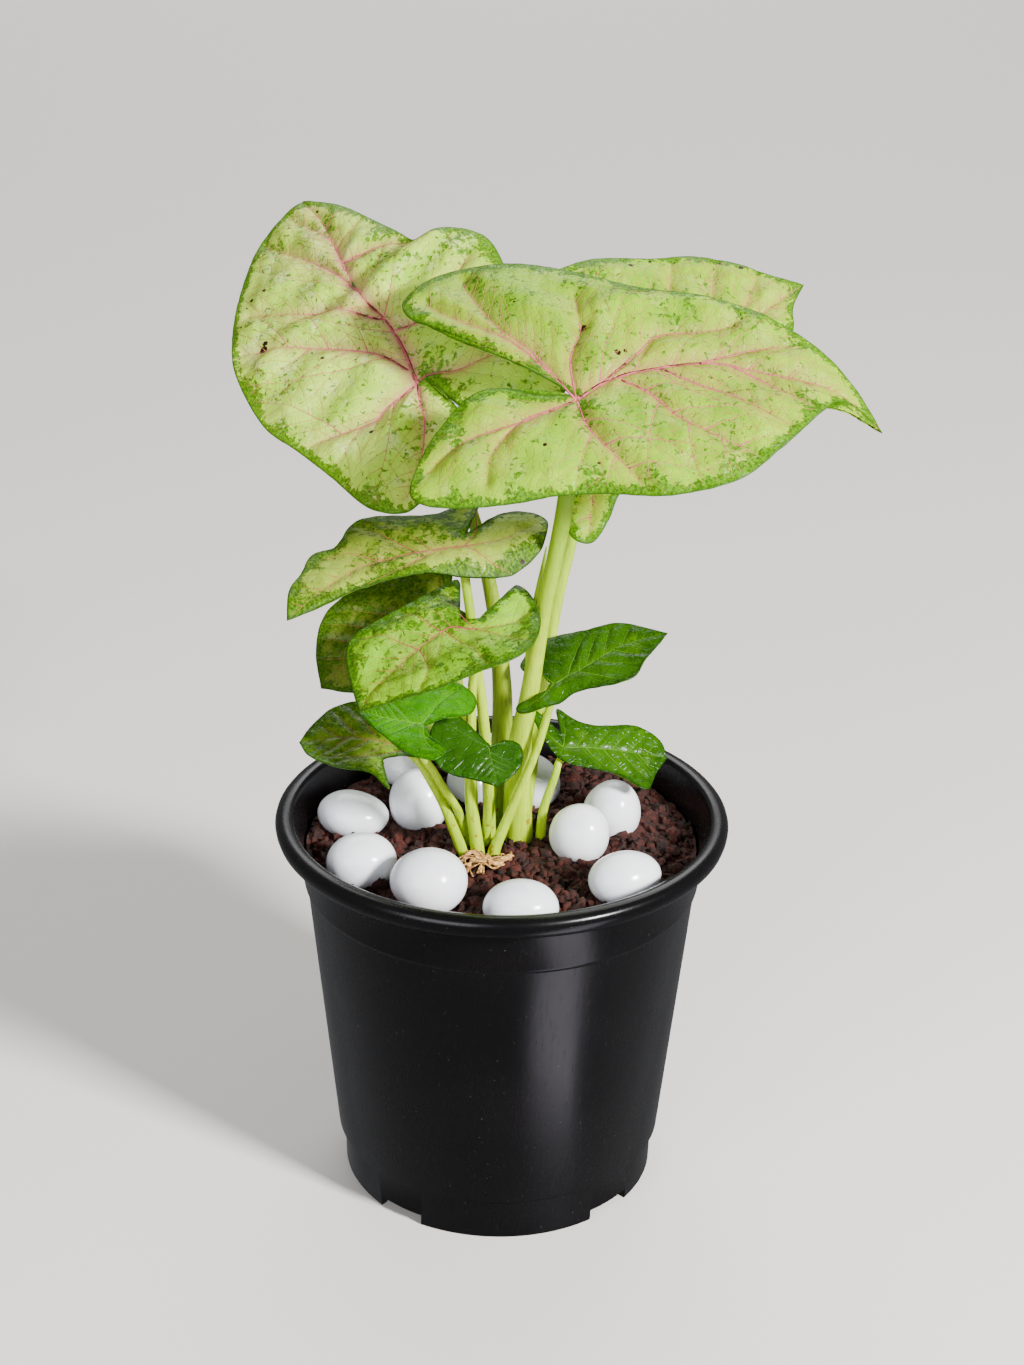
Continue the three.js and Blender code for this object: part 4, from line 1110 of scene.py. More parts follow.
PINK_VEIN = vein_material("leaf vein, flushed pink", base="#c45c68", end="#a87c48", gloss=0.45)
DUSKY_VEIN = vein_material("leaf vein, dusky pink", base="#a44c48", end="#808820", gloss=0.4)
GREEN_VEIN = vein_material("leaf vein, light green", base="#58980c", end="#388000", gloss=0.6)
GRASS_VEIN = vein_material("leaf vein, grass green", base="#487804", end="#284e00", gloss=0.6)
DARK_VEIN = vein_material("leaf vein, olive brown", base="#7c5c28", end="#485e0c", gloss=0.4)
DEEP_VEIN = vein_material("leaf vein, deep green", base="#386410", end="#244a06", gloss=0.6)
VEIN_FINISH = {
    "leaf_back_left": PINK_VEIN, "leaf_front_right": PINK_VEIN, "leaf_back_right": PINK_VEIN,
    "leaf_middle_left": DUSKY_VEIN, "leaf_middle_front": DUSKY_VEIN,
    "leaf_behind_left": DARK_VEIN, "leaf_low_left": DARK_VEIN,
    "leaf_low_bright": GREEN_VEIN, "leaf_low_heart": DEEP_VEIN,
    "leaf_low_right": GRASS_VEIN, "leaf_lowest_right": GRASS_VEIN,
}
for name, leaf in LEAVES.items():
    laid = lay_veins(name, leaf, BLADES[name], VEINS[name], VEIN_FINISH[name])
    print(laid.name, len(laid.data.polygons), "faces")

# %% [markdown]
# ## Stalks
#
# A stalk is a juicy round stem with a shallow channel along its front. It is thickest in the
# soil, where its foot is a sheath. A geometry-nodes tree sweeps one profile along each stalk's
# route, with the stalk's radius at each point. The route runs on under the midrib, where a real
# stalk becomes the rib that stands out below the blade.

# %% The sweep
STALK_ROOT = 93
STALK_POINTS = 70
STALK_SIDES = 20
ROOT_STRAIGHT = 6
# How much of the midrib the stalk runs under, in how many steps, and into how many parts the
# midrib is cut for that
MIDRIB_SHARE = 0.72
MIDRIB_STEPS = 6
MIDRIB_PARTS = 8
# The gaps under the blade at the stalk's end and along the midrib, and the ridge's radius there
# as a share of the stalk's and at its tip
JOIN_GAP, RIDGE_GAP = 0.9, 0.7
RIDGE_SHARE, RIDGE_TIP = 0.5, 0.35


def stalk_route(name, leaf):
    """The stalk's points and radii, in millimetres, from the soil to well under the midrib."""
    x, y, _, root_radius = leaf["stalk"][0]
    points = [(x, y, STALK_ROOT), (x, y, STALK_ROOT + ROOT_STRAIGHT)]
    radii = [root_radius, root_radius]
    points += [point[:3] for point in leaf["stalk"]]
    radii += [point[3] for point in leaf["stalk"]]
    top = radii[-1]
    points.append(tuple(on_blade(leaf, 0.0, 0.0, -top - JOIN_GAP)))
    radii.append(top)
    midrib, _ = even_line(RIBS[name][0], MIDRIB_PARTS)
    for number in range(1, MIDRIB_STEPS + 1):
        share = number / MIDRIB_STEPS
        along, across = midrib[round(share * MIDRIB_SHARE * MIDRIB_PARTS)]
        radius = top * (1 - share) * RIDGE_SHARE + RIDGE_TIP
        points.append(tuple(on_blade(leaf, along, across, -RIDGE_GAP - radius)))
        radii.append(radius)
    route, where = even_line(points, STALK_POINTS)
    return route, np.interp(where, range(len(radii)), radii)


def new_tree(name, *numbers):
    """A geometry tree that takes a geometry and the named numbers, and its group inputs."""
    tree = bpy.data.node_groups.new(name, "GeometryNodeTree")
    tree.interface.new_socket("Geometry", in_out="INPUT", socket_type="NodeSocketGeometry")
    for number in numbers:
        tree.interface.new_socket(number, in_out="INPUT", socket_type="NodeSocketFloat")
    tree.interface.new_socket("Geometry", in_out="OUTPUT", socket_type="NodeSocketGeometry")
    return tree, add_node(tree, "NodeGroupInput").outputs


def finish_tree(tree, geometry, material):
    """Gives the geometry its material and sends it out of the tree."""
    real = add_node(tree, "GeometryNodeRealizeInstances", {"Geometry": geometry})
    dressed = add_node(tree, "GeometryNodeSetMaterial",
                       {"Geometry": real.outputs["Geometry"], "Material": material})
    add_node(tree, "NodeGroupOutput", {"Geometry": dressed.outputs["Geometry"]})


def sweep_tree(name, material, sides):
    """A tree that sweeps a round profile, with a channel down its front, along a curve."""
    tree, given = new_tree(name, "Channel depth")
    circle = add_node(tree, "GeometryNodeCurvePrimitiveCircle",
                      {"Resolution": sides, "Radius": 1.0})
    place = add_node(tree, "GeometryNodeInputPosition").outputs[0]
    parts = add_node(tree, "ShaderNodeSeparateXYZ", {0: place})
    near_front = add_node(tree, "ShaderNodeMapRange",
                          {"Value": parts.outputs["Y"], "From Min": 0.55, "From Max": 1.0},
                          interpolation_type="SMOOTHSTEP")
    depth = add_node(tree, "ShaderNodeMath",
                     {0: near_front.outputs["Result"], 1: given["Channel depth"]},
                     operation="MULTIPLY")
    keep = add_node(tree, "ShaderNodeMath", {0: 1.0, 1: depth.outputs[0]}, operation="SUBTRACT")
    drawn_in = add_node(tree, "ShaderNodeVectorMath", {0: place, "Scale": keep.outputs[0]},
                        operation="SCALE")
    profile = add_node(tree, "GeometryNodeSetPosition",
                       {"Geometry": circle.outputs["Curve"], "Position": drawn_in.outputs[0]})
    swept = add_node(tree, "GeometryNodeCurveToMesh",
                     {"Curve": given["Geometry"], "Profile Curve": profile.outputs["Geometry"],
                      "Fill Caps": True})
    if "Scale" in swept.inputs:
        width = add_node(tree, "GeometryNodeInputNamedAttribute", {"Name": "radius"},
                         data_type="FLOAT")
        tree.links.new(width.outputs["Attribute"], swept.inputs["Scale"])
    finish_tree(tree, swept.outputs["Mesh"], material)
    return tree


def set_input(modifier, name, value):
    """Sets a modifier's input by its socket's identifier."""
    for item in modifier.node_group.interface.items_tree:
        if item.item_type == "SOCKET" and item.in_out == "INPUT" and item.name == name:
            modifier[item.identifier] = value


def plain_mesh(source, name):
    """The evaluated source as a plain mesh object. The source is removed."""
    bpy.context.view_layer.update()
    graph = bpy.context.evaluated_depsgraph_get()
    mesh = bpy.data.meshes.new_from_object(source.evaluated_get(graph), depsgraph=graph)
    made = bpy.data.objects.new(name, mesh)
    bpy.context.collection.objects.link(made)
    bpy.data.objects.remove(source)
    return made


def sweep(name, routes, tree, channel):
    """The tree's profile swept along each of the routes in millimetres, as one plain mesh."""
    curve = bpy.data.curves.new(name + "_route", "CURVE")
    curve.dimensions = "3D"
    for route, radii in routes:
        spline = curve.splines.new("POLY")
        spline.points.add(len(route) - 1)
        for point, place, radius in zip(spline.points, route, radii):
            point.co = (*(place * MM), 1)
            point.radius = radius * MM
    source = bpy.data.objects.new(name + "_route", curve)
    bpy.context.collection.objects.link(source)
    modifier = source.modifiers.new("sweep", "NODES")
    modifier.node_group = tree
    set_input(modifier, "Channel depth", channel)
    made = plain_mesh(source, name)
    made.data.shade_smooth()
    return made


# %% [markdown]
# A stalk is watery and pale where the soil shaded it, and greener towards its blade. Fine
# lengthwise streaks follow its fibres. It is smooth and a little glossy. The stalks of the two
# back leaves take a darker copy of the same finish, which is painted shade.

# %% The stalk material
def stalk_material(name, foot, top, streak):
    material, tree, shader = new_material(name, roughness=0.36)
    place = add_node(tree, "ShaderNodeTexCoord").outputs["Object"]
    height = add_node(tree, "ShaderNodeSeparateXYZ", {0: place}).outputs["Z"]
    stretched = add_node(tree, "ShaderNodeMapping", {"Vector": place, "Scale": (1.0, 1.0, 0.05)})
    fibres, clouds, marks = (
        add_node(tree, "ShaderNodeTexNoise",
                 {"Vector": where, "Scale": 1 / size, "Detail": detail,
                  "Roughness": EVEN_DETAIL}).outputs["Fac"]
        for where, size, detail in (
            (stretched.outputs[0], 0.0006, 3), (place, 0.012, 3), (place, 0.0035, 4)))
    # Rusty marks come only low down, where the height lifts their noise over its threshold
    low_down = add_node(tree, "ShaderNodeMapRange",
                        {"Value": height, "From Min": 0.112, "From Max": 0.132, "To Min": 0.12,
                         "To Max": -0.1}, interpolation_type="SMOOTHSTEP")
    rusty = add_node(tree, "ShaderNodeMath", {0: marks, 1: low_down.outputs["Result"]},
                     operation="ADD")
    colour = lay_colours(tree, foot, [
        (height, 0.15, 0.24, 0, 1, top), (fibres, 0.42, 0.7, 0, 0.45, streak),
        (clouds, 0.4, 0.75, 0, 0.3, top), (rusty.outputs[0], 0.72, 0.78, 0, 0.8, "#8a5416")])
    bump = add_node(tree, "ShaderNodeBump",
                    {"Strength": 0.25, "Distance": 0.0001, "Height": fibres})
    fill_sockets(tree, shader, {
        "Base Color": colour, "Subsurface Weight": 0.25, "Subsurface Radius": (0.9, 1.0, 0.3),
        "Subsurface Scale": 0.0015, "Normal": bump.outputs["Normal"]})
    return material


PALE_STALK = stalk_material("living stalk, pale green", foot="#b4d010", top="#608a00",
                            streak="#608800")
# A darker copy of the stalk finish: painted shade for the stalks of the back leaves
PAINTED_SHADE_STALK = stalk_material("living stalk, green darkened as painted shade", foot="#90a80c", top="#446a00",
                              streak="#305400")

# %% Make the stalks
STALK_CHANNEL = 0.12
# The leaves whose stalks take the darker copy of the finish, which is painted shade
PAINTED_SHADE_LEAVES = ("leaf_back_left", "leaf_behind_left")
pale_sweep = sweep_tree("pale_stalk_sweep", PALE_STALK, STALK_SIDES)
painted_shade_sweep = sweep_tree("painted_shade_stalk_sweep", PAINTED_SHADE_STALK, STALK_SIDES)
for name, leaf in LEAVES.items():
    stalk = sweep(name + "_stalk", [stalk_route(name, leaf)],
                  painted_shade_sweep if name in PAINTED_SHADE_LEAVES else pale_sweep, STALK_CHANNEL)
    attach(stalk, "root")
    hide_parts(name)
# The thin end of the largest leaf's sheath stands free beside its stalk
SHEATH_TIP = [(7.6, -2, 156), (7.4, -1.8, 168), (9, -2.2, 183), (11.2, -2.6, 198)]
SHEATH_TIP_RADII = [1.6, 1.5, 1.1, 0.25]
SHEATH_TIP_POINTS = 24
SHEATH_TIP_CHANNEL = 0.5
route, where = even_line(SHEATH_TIP, SHEATH_TIP_POINTS)
radii = np.interp(where, range(len(SHEATH_TIP_RADII)), SHEATH_TIP_RADII)
sheath_tip = sweep("sheath_tip", [(route, radii)], pale_sweep, SHEATH_TIP_CHANNEL)
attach(sheath_tip, "root")
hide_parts("leaf_front_right")
print("stalks:", len(LEAVES))

# %% [markdown]
# ## The pot
#
# A nursery pot is injection-moulded in black polypropylene: a thin tapering wall with a
# rolled rim, a collar, and a stepped foot with notches that let water out. It is a body of
# revolution, so one profile is turned about the axis, and the notches and drain holes are cut.

# %% The pot's profile
POT_SEGMENTS = 192
POT_OUTSIDE = [
    (26, 0), (27.5, 4), (41, 4), (43.7, 0), (45.7, 0), (45.95, 0.4), (46.3, 12.2), (46.8, 12.9),
    (47.6, 13.3), (48.0, 13.9), (56.15, 94.3), (56.35, 94.7), (56.9, 95.2), (57.1, 96),
    (58.2, 107.2), (58.6, 108.0), (59.6, 108.5), (62.4, 109.2), (63.6, 109.9), (64.4, 110.9),
    (64.85, 112.2), (65.0, 113.3), (64.75, 114.3), (64.2, 115.0), (63.3, 115.5), (62.2, 115.75),
    (61.2, 115.7), (60.4, 115.4), (59.9, 114.9), (59.6, 114.0)]
POT_INSIDE = [
    (57.1, 108.4), (56.4, 100), (54.9, 94.4), (46.4, 14.2), (44.9, 7.1), (42, 5.6), (26.5, 5.6),
    (25, 1.6)]


def turned(profile, segments):
    """Vertices and faces of a profile turned about the Z axis. Both its ends close on the axis."""
    angles = np.arange(segments) * 2 * math.pi / segments
    radius = np.array([p[0] for p in profile], float)[:, None]
    height = np.array([p[1] for p in profile], float)[:, None]
    ring = np.stack([radius * np.cos(angles), radius * np.sin(angles),
                     np.broadcast_to(height, (len(profile), segments))], axis=2)
    vertices = np.vstack([ring.reshape(-1, 3), [0, 0, profile[0][1]], [0, 0, profile[-1][1]]])
    foot, head = len(vertices) - 2, len(vertices) - 1
    faces = []
    for i in range(segments):
        j = (i + 1) % segments
        faces.append((foot, j, i))
        for row in range(len(profile) - 1):
            a, b = row * segments, (row + 1) * segments
            faces.append((a + i, a + j, b + j, b + i))
        last = (len(profile) - 1) * segments
        faces.append((last + i, last + j, head))
    return vertices, faces


def block(low, high, turn):
    """A plain block between two corners, turned about the Z axis."""
    corners = [(x, y, z) for x in (low[0], high[0]) for y in (low[1], high[1])
               for z in (low[2], high[2])]
    sides = [(0, 1, 3, 2), (4, 6, 7, 5), (0, 4, 5, 1), (2, 3, 7, 6), (0, 2, 6, 4), (1, 5, 7, 3)]
    c, s = math.cos(turn), math.sin(turn)
    placed = [(x * c - y * s, x * s + y * c, z) for x, y, z in corners]
    return placed, sides


def cut_away(body, vertices, faces):
    """Cuts the closed mesh of vertices and faces, in millimetres, out of the body."""
    mesh = bpy.data.meshes.new("cutter")
    mesh.from_pydata((np.asarray(vertices) * MM).tolist(), [], faces)
    cutter = bpy.data.objects.new("cutter", mesh)
    bpy.context.collection.objects.link(cutter)
    modifier = body.modifiers.new("cut", "BOOLEAN")
    modifier.operation = "DIFFERENCE"
    modifier.solver = "EXACT"
    modifier.object = cutter
    bpy.context.view_layer.update()
    graph = bpy.context.evaluated_depsgraph_get()
    cut = bpy.data.meshes.new_from_object(body.evaluated_get(graph), depsgraph=graph)
    body.modifiers.clear()
    body.data = cut
    bpy.data.objects.remove(cutter)


def several(shapes):
    """Several vertex and face lists as one."""
    vertices, faces = [], []
    for places, sides in shapes:
        faces += [tuple(corner + len(vertices) for corner in side) for side in sides]
        vertices += [tuple(place) for place in places]
    return vertices, faces


# %% [markdown]
# Polypropylene is a little waxy: black, with broad soft reflections, dust in its pores and fine
# upright scuffs from stacking. The scuffs are stretched noise about 1.2 mm wide.

# %% The pot's material
def pot_material():
    material, tree, shader = new_material("moulded black polypropylene", roughness=0.25, ior=1.49)
    place = add_node(tree, "ShaderNodeTexCoord").outputs["Object"]
    upright = add_node(tree, "ShaderNodeMapping", {"Vector": place, "Scale": (1.0, 1.0, 0.12)})
    scuff, cloud, dust = (
        add_node(tree, "ShaderNodeTexNoise",
                 {"Vector": where, "Scale": 1 / size, "Detail": detail,
                  "Roughness": roughness}).outputs["Fac"]
        for where, size, detail, roughness in (
            (upright.outputs[0], 0.0012, 5, 0.7), (place, 0.03, 1, EVEN_DETAIL),
            (place, 0.0006, 1, EVEN_DETAIL)))
    clouded, scuffed = (
        add_node(tree, "ShaderNodeMapRange",
                 {"Value": pattern, "From Min": low, "From Max": high, "To Min": start,
                  "To Max": end}, interpolation_type="SMOOTHSTEP").outputs["Result"]
        for pattern, low, high, start, end in (
            (cloud, 0.3, 0.7, 0.22, 0.27), (scuff, 0.5, 0.75, 0.0, 0.08)))
    colour = lay_colours(tree, "#060506", [(cloud, 0.35, 0.7, 0, 1, "#0a0809"),
                                           (dust, 0.76, 0.82, 0, 0.3, "#8a7f78")])
    rough = add_node(tree, "ShaderNodeMath", {0: clouded, 1: scuffed}, operation="ADD")
    bump = add_node(tree, "ShaderNodeBump",
                    {"Strength": 0.1, "Distance": 0.0002, "Height": scuff})
    fill_sockets(tree, shader, {"Base Color": colour, "Specular IOR Level": 0.3,
                                "Roughness": rough.outputs[0], "Normal": bump.outputs["Normal"]})
    return material


POT_FINISH = pot_material()

# %% Make the pot
DRAINS = 8
DRAIN_RADIUS = 3
DRAIN_REACH = 33.5
NOTCH_TURNS = (-128, -44, 52, 136)
NOTCH_HALF = 7.55
NOTCH_HEIGHT = 3.4
NOTCH_INNER, NOTCH_OUTER = 41.9, 49.9
# The cutters start below the foot and the drain's cutter ends above the channel's floor
NOTCH_START = -2
DRILL_LOW, DRILL_HIGH, DRILL_SIDES = 1, 7.6, 32
SHARP_DEGREES = 38


def make_pot():
    vertices, faces = turned(POT_OUTSIDE + POT_INSIDE, POT_SEGMENTS)
    pot = mesh_object("pot_shell", vertices, faces, POT_FINISH)
    cutters = []
    for turn in NOTCH_TURNS:
        cutters.append(block((NOTCH_INNER, -NOTCH_HALF, NOTCH_START),
                             (NOTCH_OUTER, NOTCH_HALF, NOTCH_HEIGHT), math.radians(turn)))
    drill, sides = turned([(DRAIN_RADIUS, DRILL_LOW), (DRAIN_RADIUS, DRILL_HIGH)], DRILL_SIDES)
    for i in range(DRAINS):
        x = DRAIN_REACH * math.cos(i * math.tau / DRAINS)
        y = DRAIN_REACH * math.sin(i * math.tau / DRAINS)
        cutters.append((drill + np.array([x, y, 0]), sides))
    cut_away(pot, *several(cutters))
    pot.data.shade_smooth()
    pot.data.set_sharp_from_angle(angle=math.radians(SHARP_DEGREES))
    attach(pot, "root")
    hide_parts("pot")
    return pot


pot = make_pot()
print("pot:", len(pot.data.polygons), "faces")

# %% [markdown]
# ## Pebbles
#
# These are tumbled and polished white stones, the decorative kind: egg-shaped, cool white, a
# little clear at the surface, each with its own slight dent. The same uneven ball as in the
# solid is made much finer here.

# %% The pebbles
# Each pebble: its middle, its half sizes and its turn in degrees
PEBBLES = [
    ((-43, 7, 110), (10.8, 8.6, 7), -8), ((-39.2, -22.6, 110.6), (10, 9, 8.8), 15),
    ((-20.2, -35.6, 111.5), (11.2, 9.8, 9.4), 5), ((5.6, -44.5, 108.4), (11, 8.6, 8), 0),
    ((34.6, -30, 110.2), (10.8, 8.4, 7.8), 20), ((22, -6.2, 111.3), (8.8, 8.4, 9.8), 0),
    ((31.8, 9.8, 110.6), (9, 8.2, 9.6), 0), ((9.2, 27.4, 110.8), (8.6, 8.2, 8.8), 0),
    ((-24, 12.4, 111.6), (9, 9, 10.4), 0), ((-30, 37, 110.5), (8.6, 7.6, 6.6), 0),
    ((-9, 27, 110.5), (8.2, 7.6, 7), 30), ((-3, 45.5, 110.5), (8.8, 7.4, 7), 0)]
PEBBLE_SUBDIVISIONS = 5
UNEVENNESS = 0.035
DENT = 0.012


def pebble_material():
    material, tree, shader = new_material("tumbled white stone", roughness=0.2, ior=1.54)
    place = add_node(tree, "ShaderNodeTexCoord").outputs["Object"]
    cloud, pits = (
        add_node(tree, "ShaderNodeTexNoise",
                 {"Vector": place, "Scale": 1 / size, "Detail": detail,
                  "Roughness": EVEN_DETAIL, "Distortion": distortion}).outputs["Fac"]
        for size, detail, distortion in ((0.010, 5, 0.4), (0.0012, 3, 0)))
    colour = lay_colours(tree, "#f6f7fa", [(cloud, 0.35, 0.75, 0, 1, "#e6e9f0")])
    shine = add_node(tree, "ShaderNodeMapRange",
                     {"Value": pits, "From Min": 0.3, "From Max": 0.7, "To Min": 0.14,
                      "To Max": 0.26}, interpolation_type="SMOOTHSTEP")
    bump = add_node(tree, "ShaderNodeBump",
                    {"Strength": 0.08, "Distance": 0.0001, "Height": pits})
    fill_sockets(tree, shader, {
        "Base Color": colour, "Roughness": shine.outputs["Result"], "Subsurface Weight": 0.2,
        "Subsurface Radius": (1.0, 1.0, 1.0), "Subsurface Scale": 0.002,
        "Normal": bump.outputs["Normal"]})
    return material


STONE_FINISH = pebble_material()


def make_pebble(number, at, half, turn):
    ball = bmesh.new()
    bmesh.ops.create_icosphere(ball, subdivisions=PEBBLE_SUBDIVISIONS, radius=1.0)
    places = np.array([vertex.co for vertex in ball.verts])
    faces = [[vertex.index for vertex in face.verts] for face in ball.faces]
    ball.free()
    places /= np.linalg.norm(places, axis=1, keepdims=True)
    swell = 1 + np.sin(2.3 * places[:, 0] + 1.7 * number)
    bump = 1 - UNEVENNESS * swell * (1 + places[:, 2] * math.cos(number))
    dent = DENT * np.sin(3.1 * places[:, 1] + 2 * number) * np.cos(2.7 * places[:, 2] + number)
    places = places * np.array(half, float) * (bump + dent)[:, None]
    c, s = math.cos(math.radians(turn)), math.sin(math.radians(turn))
    places = places @ np.array([[c, s, 0], [-s, c, 0], [0, 0, 1]]) + np.array(at, float)
    pebble = mesh_object(f"pebble_stone_{number + 1}", places, faces, STONE_FINISH)
    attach(pebble, "root")
    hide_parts(f"pebble_{number + 1}")


for number, (at, half, turn) in enumerate(PEBBLES):
    make_pebble(number, at, half, turn)
print("pebbles:", len(PEBBLES))

# %% [markdown]
# ## Soil
#
# Coco peat is the crushed pith of coconut husk: red-brown crumbs up to 6 mm across. A lumpy
# sheet covers the solid's top, and geometry nodes scatter crumbs of two sizes over it: lumps,
# and grains less than half their size.

# %% The soil's surface
SOIL_TOP = 105
SOIL_EDGE = 56.2
SHEET_RINGS, SHEET_AROUND = 56, 160
# The sheet lies this far above the solid, and each of its places up to this much higher
SHEET_LIFT, SHEET_ROUGHNESS = 0.15, 0.5


def soil_height(x, y):
    broad = np.sin(0.42 * x + 1) * np.cos(0.37 * y)
    small = 0.6 * np.sin(0.91 * x - 0.63 * y + 2)
    share = np.clip((np.hypot(x, y) - 10) / 12, 0, 1)
    return SOIL_TOP + 0.7 * (broad + small) * share * share * (3 - 2 * share)


def soil_material():
    material, tree, shader = new_material("damp coco peat", roughness=0.85)
    place = add_node(tree, "ShaderNodeTexCoord").outputs["Object"]
    crumb, grain = (
        add_node(tree, "ShaderNodeTexNoise",
                 {"Vector": place, "Scale": 1 / size, "Detail": detail,
                  "Roughness": 0.7}).outputs["Fac"]
        for size, detail in ((0.0035, 6), (0.0007, 4)))
    colour = lay_colours(tree, "#160704", [(crumb, 0.35, 0.65, 0, 1, "#46180c"),
                                           (grain, 0.55, 0.75, 0, 0.5, "#763824")])
    bump = add_node(tree, "ShaderNodeBump",
                    {"Strength": 0.8, "Distance": 0.0005, "Height": grain})
    fill_sockets(tree, shader, {"Base Color": colour, "Normal": bump.outputs["Normal"]})
    return material


SOIL_FINISH = soil_material()


def soil_sheet():
    radius = np.linspace(0, SOIL_EDGE, SHEET_RINGS + 1)[1:]
    angle = np.arange(SHEET_AROUND) * 2 * math.pi / SHEET_AROUND
    x = np.outer(radius, np.cos(angle))
    y = np.outer(radius, np.sin(angle))
    rng = np.random.default_rng(5)
    z = soil_height(x, y) + SHEET_LIFT + SHEET_ROUGHNESS * rng.random(x.shape)
    middle = [0, 0, SOIL_TOP + 2 * SHEET_LIFT]
    vertices = np.vstack([middle, np.stack([x, y, z], axis=2).reshape(-1, 3)])
    faces = []
    for i in range(SHEET_AROUND):
        j = (i + 1) % SHEET_AROUND
        faces.append((0, 1 + i, 1 + j))
        for row in range(SHEET_RINGS - 1):
            a, b = 1 + row * SHEET_AROUND, 1 + (row + 1) * SHEET_AROUND
            faces.append((a + i, b + i, b + j, a + j))
    return vertices, faces


# %% Scattering the crumbs
# Each size of crumb: the number that says how many there are, its ball's subdivisions and
# radius in metres, the least and the most that it is stretched, and its seed
CRUMBS = [("Lumps per square metre", 2, 0.0019, 0.4, 1.5, 3),
          ("Grains per square metre", 1, 0.0008, 0.5, 1.8, 7)]
# How ragged a crumb is, for each metre of its radius, and how fine the raggedness
RAGGED, RAGGED_SCALE = 2.4, 700.0


def scatter_tree(name, material):
    """A tree that joins a sheet with crumbs of two sizes scattered over it."""
    tree, given = new_tree(name, *(crumb[0] for crumb in CRUMBS))
    join = add_node(tree, "GeometryNodeJoinGeometry", {"Geometry": given["Geometry"]})
    place = add_node(tree, "GeometryNodeInputPosition")
    flat = add_node(tree, "ShaderNodeVectorMath", {0: place.outputs[0], 1: (1.0, 1.0, 0.0)},
                    operation="MULTIPLY")
    reach = add_node(tree, "ShaderNodeVectorMath", {0: flat.outputs[0]}, operation="LENGTH")
    for density, subdivisions, radius, least, most, seed in CRUMBS:
        # Crumbs keep clear of the pot's wall
        clear = add_node(tree, "FunctionNodeCompare",
                         {"A": reach.outputs["Value"], "B": SOIL_EDGE * MM - radius},
                         operation="LESS_THAN")
        ball = add_node(tree, "GeometryNodeMeshIcoSphere",
                        {"Radius": radius, "Subdivisions": subdivisions})
        points = add_node(tree, "GeometryNodeDistributePointsOnFaces",
                          {"Mesh": given["Geometry"], "Density": given[density],
                           "Selection": clear.outputs[0], "Seed": seed})
        turn = add_node(tree, "FunctionNodeRandomValue",
                        {"Max": (math.tau, math.tau, math.tau), "Seed": seed},
                        data_type="FLOAT_VECTOR")
        size = add_node(tree, "FunctionNodeRandomValue",
                        {"Min": (least, least, 0.7 * least), "Max": (most, most, 0.8 * most),
                         "Seed": seed + 1}, data_type="FLOAT_VECTOR")
        crumbs = add_node(tree, "GeometryNodeInstanceOnPoints",
                          {"Points": points.outputs["Points"], "Instance": ball.outputs["Mesh"],
                           "Rotation": turn.outputs[0], "Scale": size.outputs[0]})
        real = add_node(tree, "GeometryNodeRealizeInstances",
                        {"Geometry": crumbs.outputs["Instances"]})
        ragged = add_node(tree, "ShaderNodeTexNoise", {"Scale": RAGGED_SCALE, "Detail": 2.0})
        centred = add_node(tree, "ShaderNodeVectorMath",
                           {0: ragged.outputs["Color"], 1: (0.5, 0.5, 0.5)},
                           operation="SUBTRACT")
        push = add_node(tree, "ShaderNodeVectorMath",
                        {0: centred.outputs[0], "Scale": RAGGED * radius}, operation="SCALE")
        rough = add_node(tree, "GeometryNodeSetPosition",
                         {"Geometry": real.outputs["Geometry"], "Offset": push.outputs[0]})
        tree.links.new(rough.outputs["Geometry"], join.inputs["Geometry"])
    finish_tree(tree, join.outputs["Geometry"], material)
    return tree


# %% Make the soil
CRUMBS_PER_SQUARE_METRE = (80000.0, 240000.0)


def make_soil():
    sheet = mesh_object("soil_sheet", *soil_sheet(), SOIL_FINISH)
    modifier = sheet.modifiers.new("scatter", "NODES")
    modifier.node_group = scatter_tree("coco_peat", SOIL_FINISH)
    for crumb, density in zip(CRUMBS, CRUMBS_PER_SQUARE_METRE):
        set_input(modifier, crumb[0], density)
    soil = plain_mesh(sheet, "soil_crumbs")
    soil.data.shade_smooth()
    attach(soil, "root")
    return soil


soil = make_soil()
solid_soil = bpy.data.objects["soil"]
solid_soil.data.materials.clear()
solid_soil.data.materials.append(SOIL_FINISH)
print("soil:", len(soil.data.polygons), "faces")

# %% [markdown]
# ## Dry sheath
#
# An old leaf has withered at the foot of the stalks and left straw-coloured strips of its
# sheath. They curl over each other on the soil.

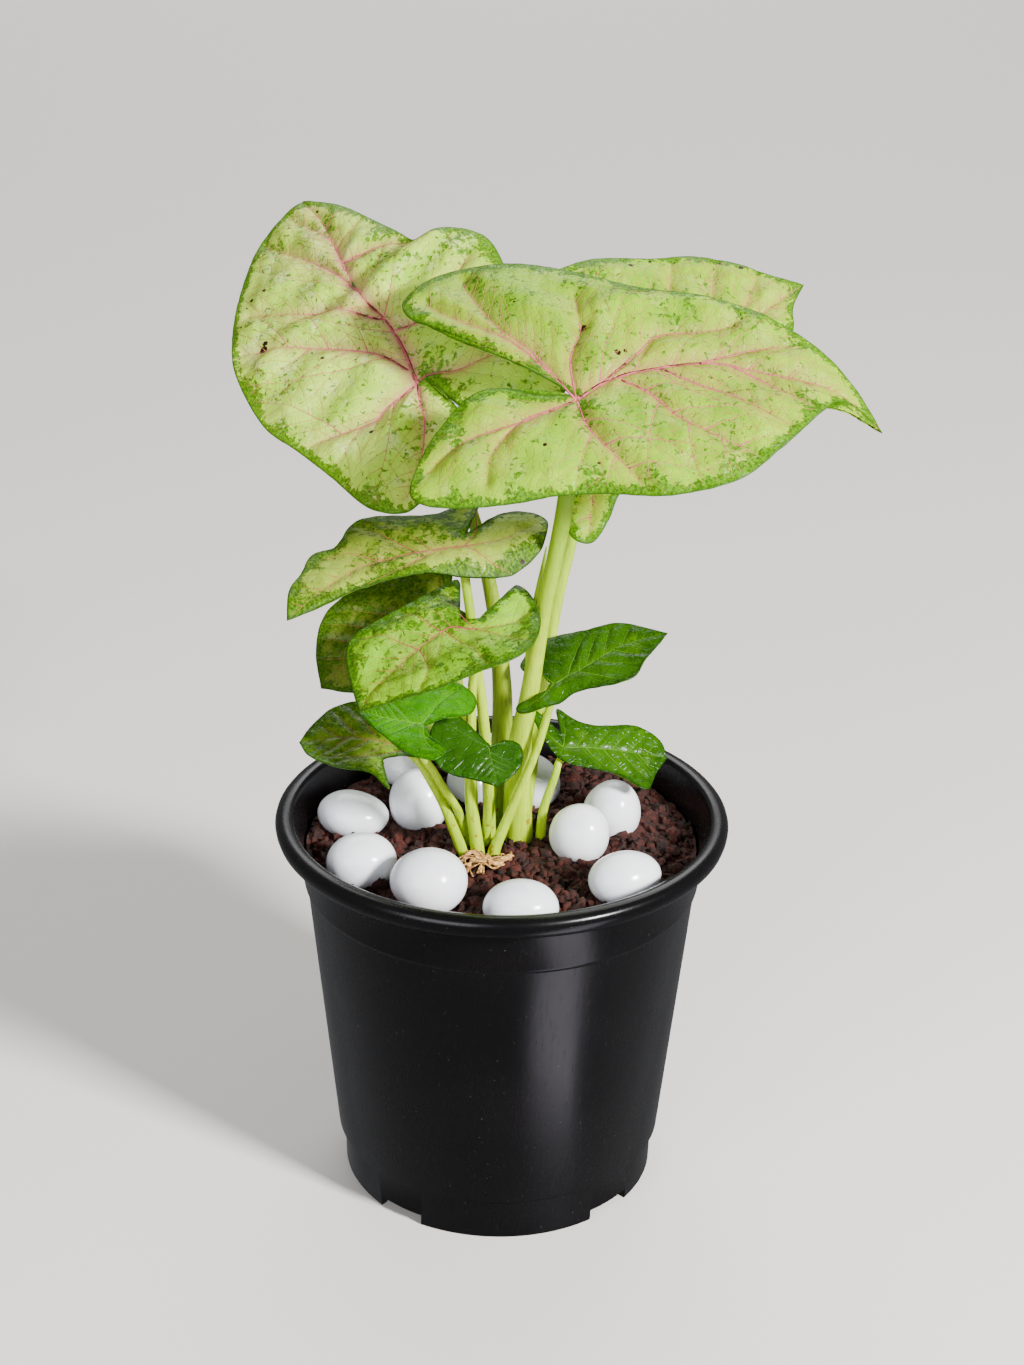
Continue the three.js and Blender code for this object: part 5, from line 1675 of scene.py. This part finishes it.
# %% Make the dry sheath
DRY_STRIPS = [
    [(-11.5, -16, 107), (-8.5, -14.4, 109.4), (-5, -15.4, 108), (-2.4, -13.6, 106.8)],
    [(-9.6, -21.6, 106.8), (-8.4, -17.6, 108.4), (-6.4, -15, 108.6), (-6.8, -12.6, 107)],
    [(-6, -21.8, 106.8), (-5.4, -18.2, 108.6), (-4.2, -15.2, 108.2), (-2.8, -17, 106.8)],
    [(-10.8, -18.6, 107), (-6.6, -18.6, 109), (-2.4, -18.4, 108), (1.2, -15.6, 106.8)],
    [(-3.2, -14.4, 107.2), (-0.6, -16.4, 108.2), (2, -14, 108), (3.6, -11.6, 106.8)]]
STRANDS_EACH = 5
STRAND_SCATTER = 1.3
STRAND_POINTS = 30
STRAND_SIDES = 8
STRAND_CHANNEL = 0.9
# The radius of a strip's first strand and of the others, and the soil that they lie on
STRIP_RADIUS, STRAND_RADIUS = 0.5, 0.26
STRAND_FLOOR = 106.2


def straw_material():
    material, tree, shader = new_material("dry leaf sheath", roughness=0.8)
    place = add_node(tree, "ShaderNodeTexCoord").outputs["Object"]
    fibre = add_node(tree, "ShaderNodeTexNoise",
                     {"Vector": place, "Scale": 1 / 0.0008, "Detail": 5,
                      "Roughness": EVEN_DETAIL, "Distortion": 1.0}).outputs["Fac"]
    colour = lay_colours(tree, "#dcb070", [(fibre, 0.35, 0.65, 0, 1, "#8e5620")])
    bump = add_node(tree, "ShaderNodeBump",
                    {"Strength": 0.6, "Distance": 0.0003, "Height": fibre})
    fill_sockets(tree, shader, {"Base Color": colour, "Normal": bump.outputs["Normal"]})
    return material


STRAW_FINISH = straw_material()
straw_sweep = sweep_tree("straw_sweep", STRAW_FINISH, STRAND_SIDES)
scatter = np.random.default_rng(11)
strands = []
for number, strip in enumerate(DRY_STRIPS):
    for strand in range(STRANDS_EACH):
        spread = 0 if strand == 0 else STRAND_SCATTER
        stray = scatter.normal(0, spread, (len(strip), 3)) * (1, 1, 0.3)
        route, where = even_line(np.array(strip, float) + stray, STRAND_POINTS)
        route[:, 2] = np.maximum(route[:, 2], STRAND_FLOOR)
        wide = STRIP_RADIUS if strand == 0 else STRAND_RADIUS
        wide = wide * (1 + 0.4 * np.sin(where * 2.1 + number + strand))
        strands.append((route, wide))
sheath = sweep("dry_strands", strands, straw_sweep, STRAND_CHANNEL)
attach(sheath, "root")
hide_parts("dry_sheath")
print("strands:", len(strands))
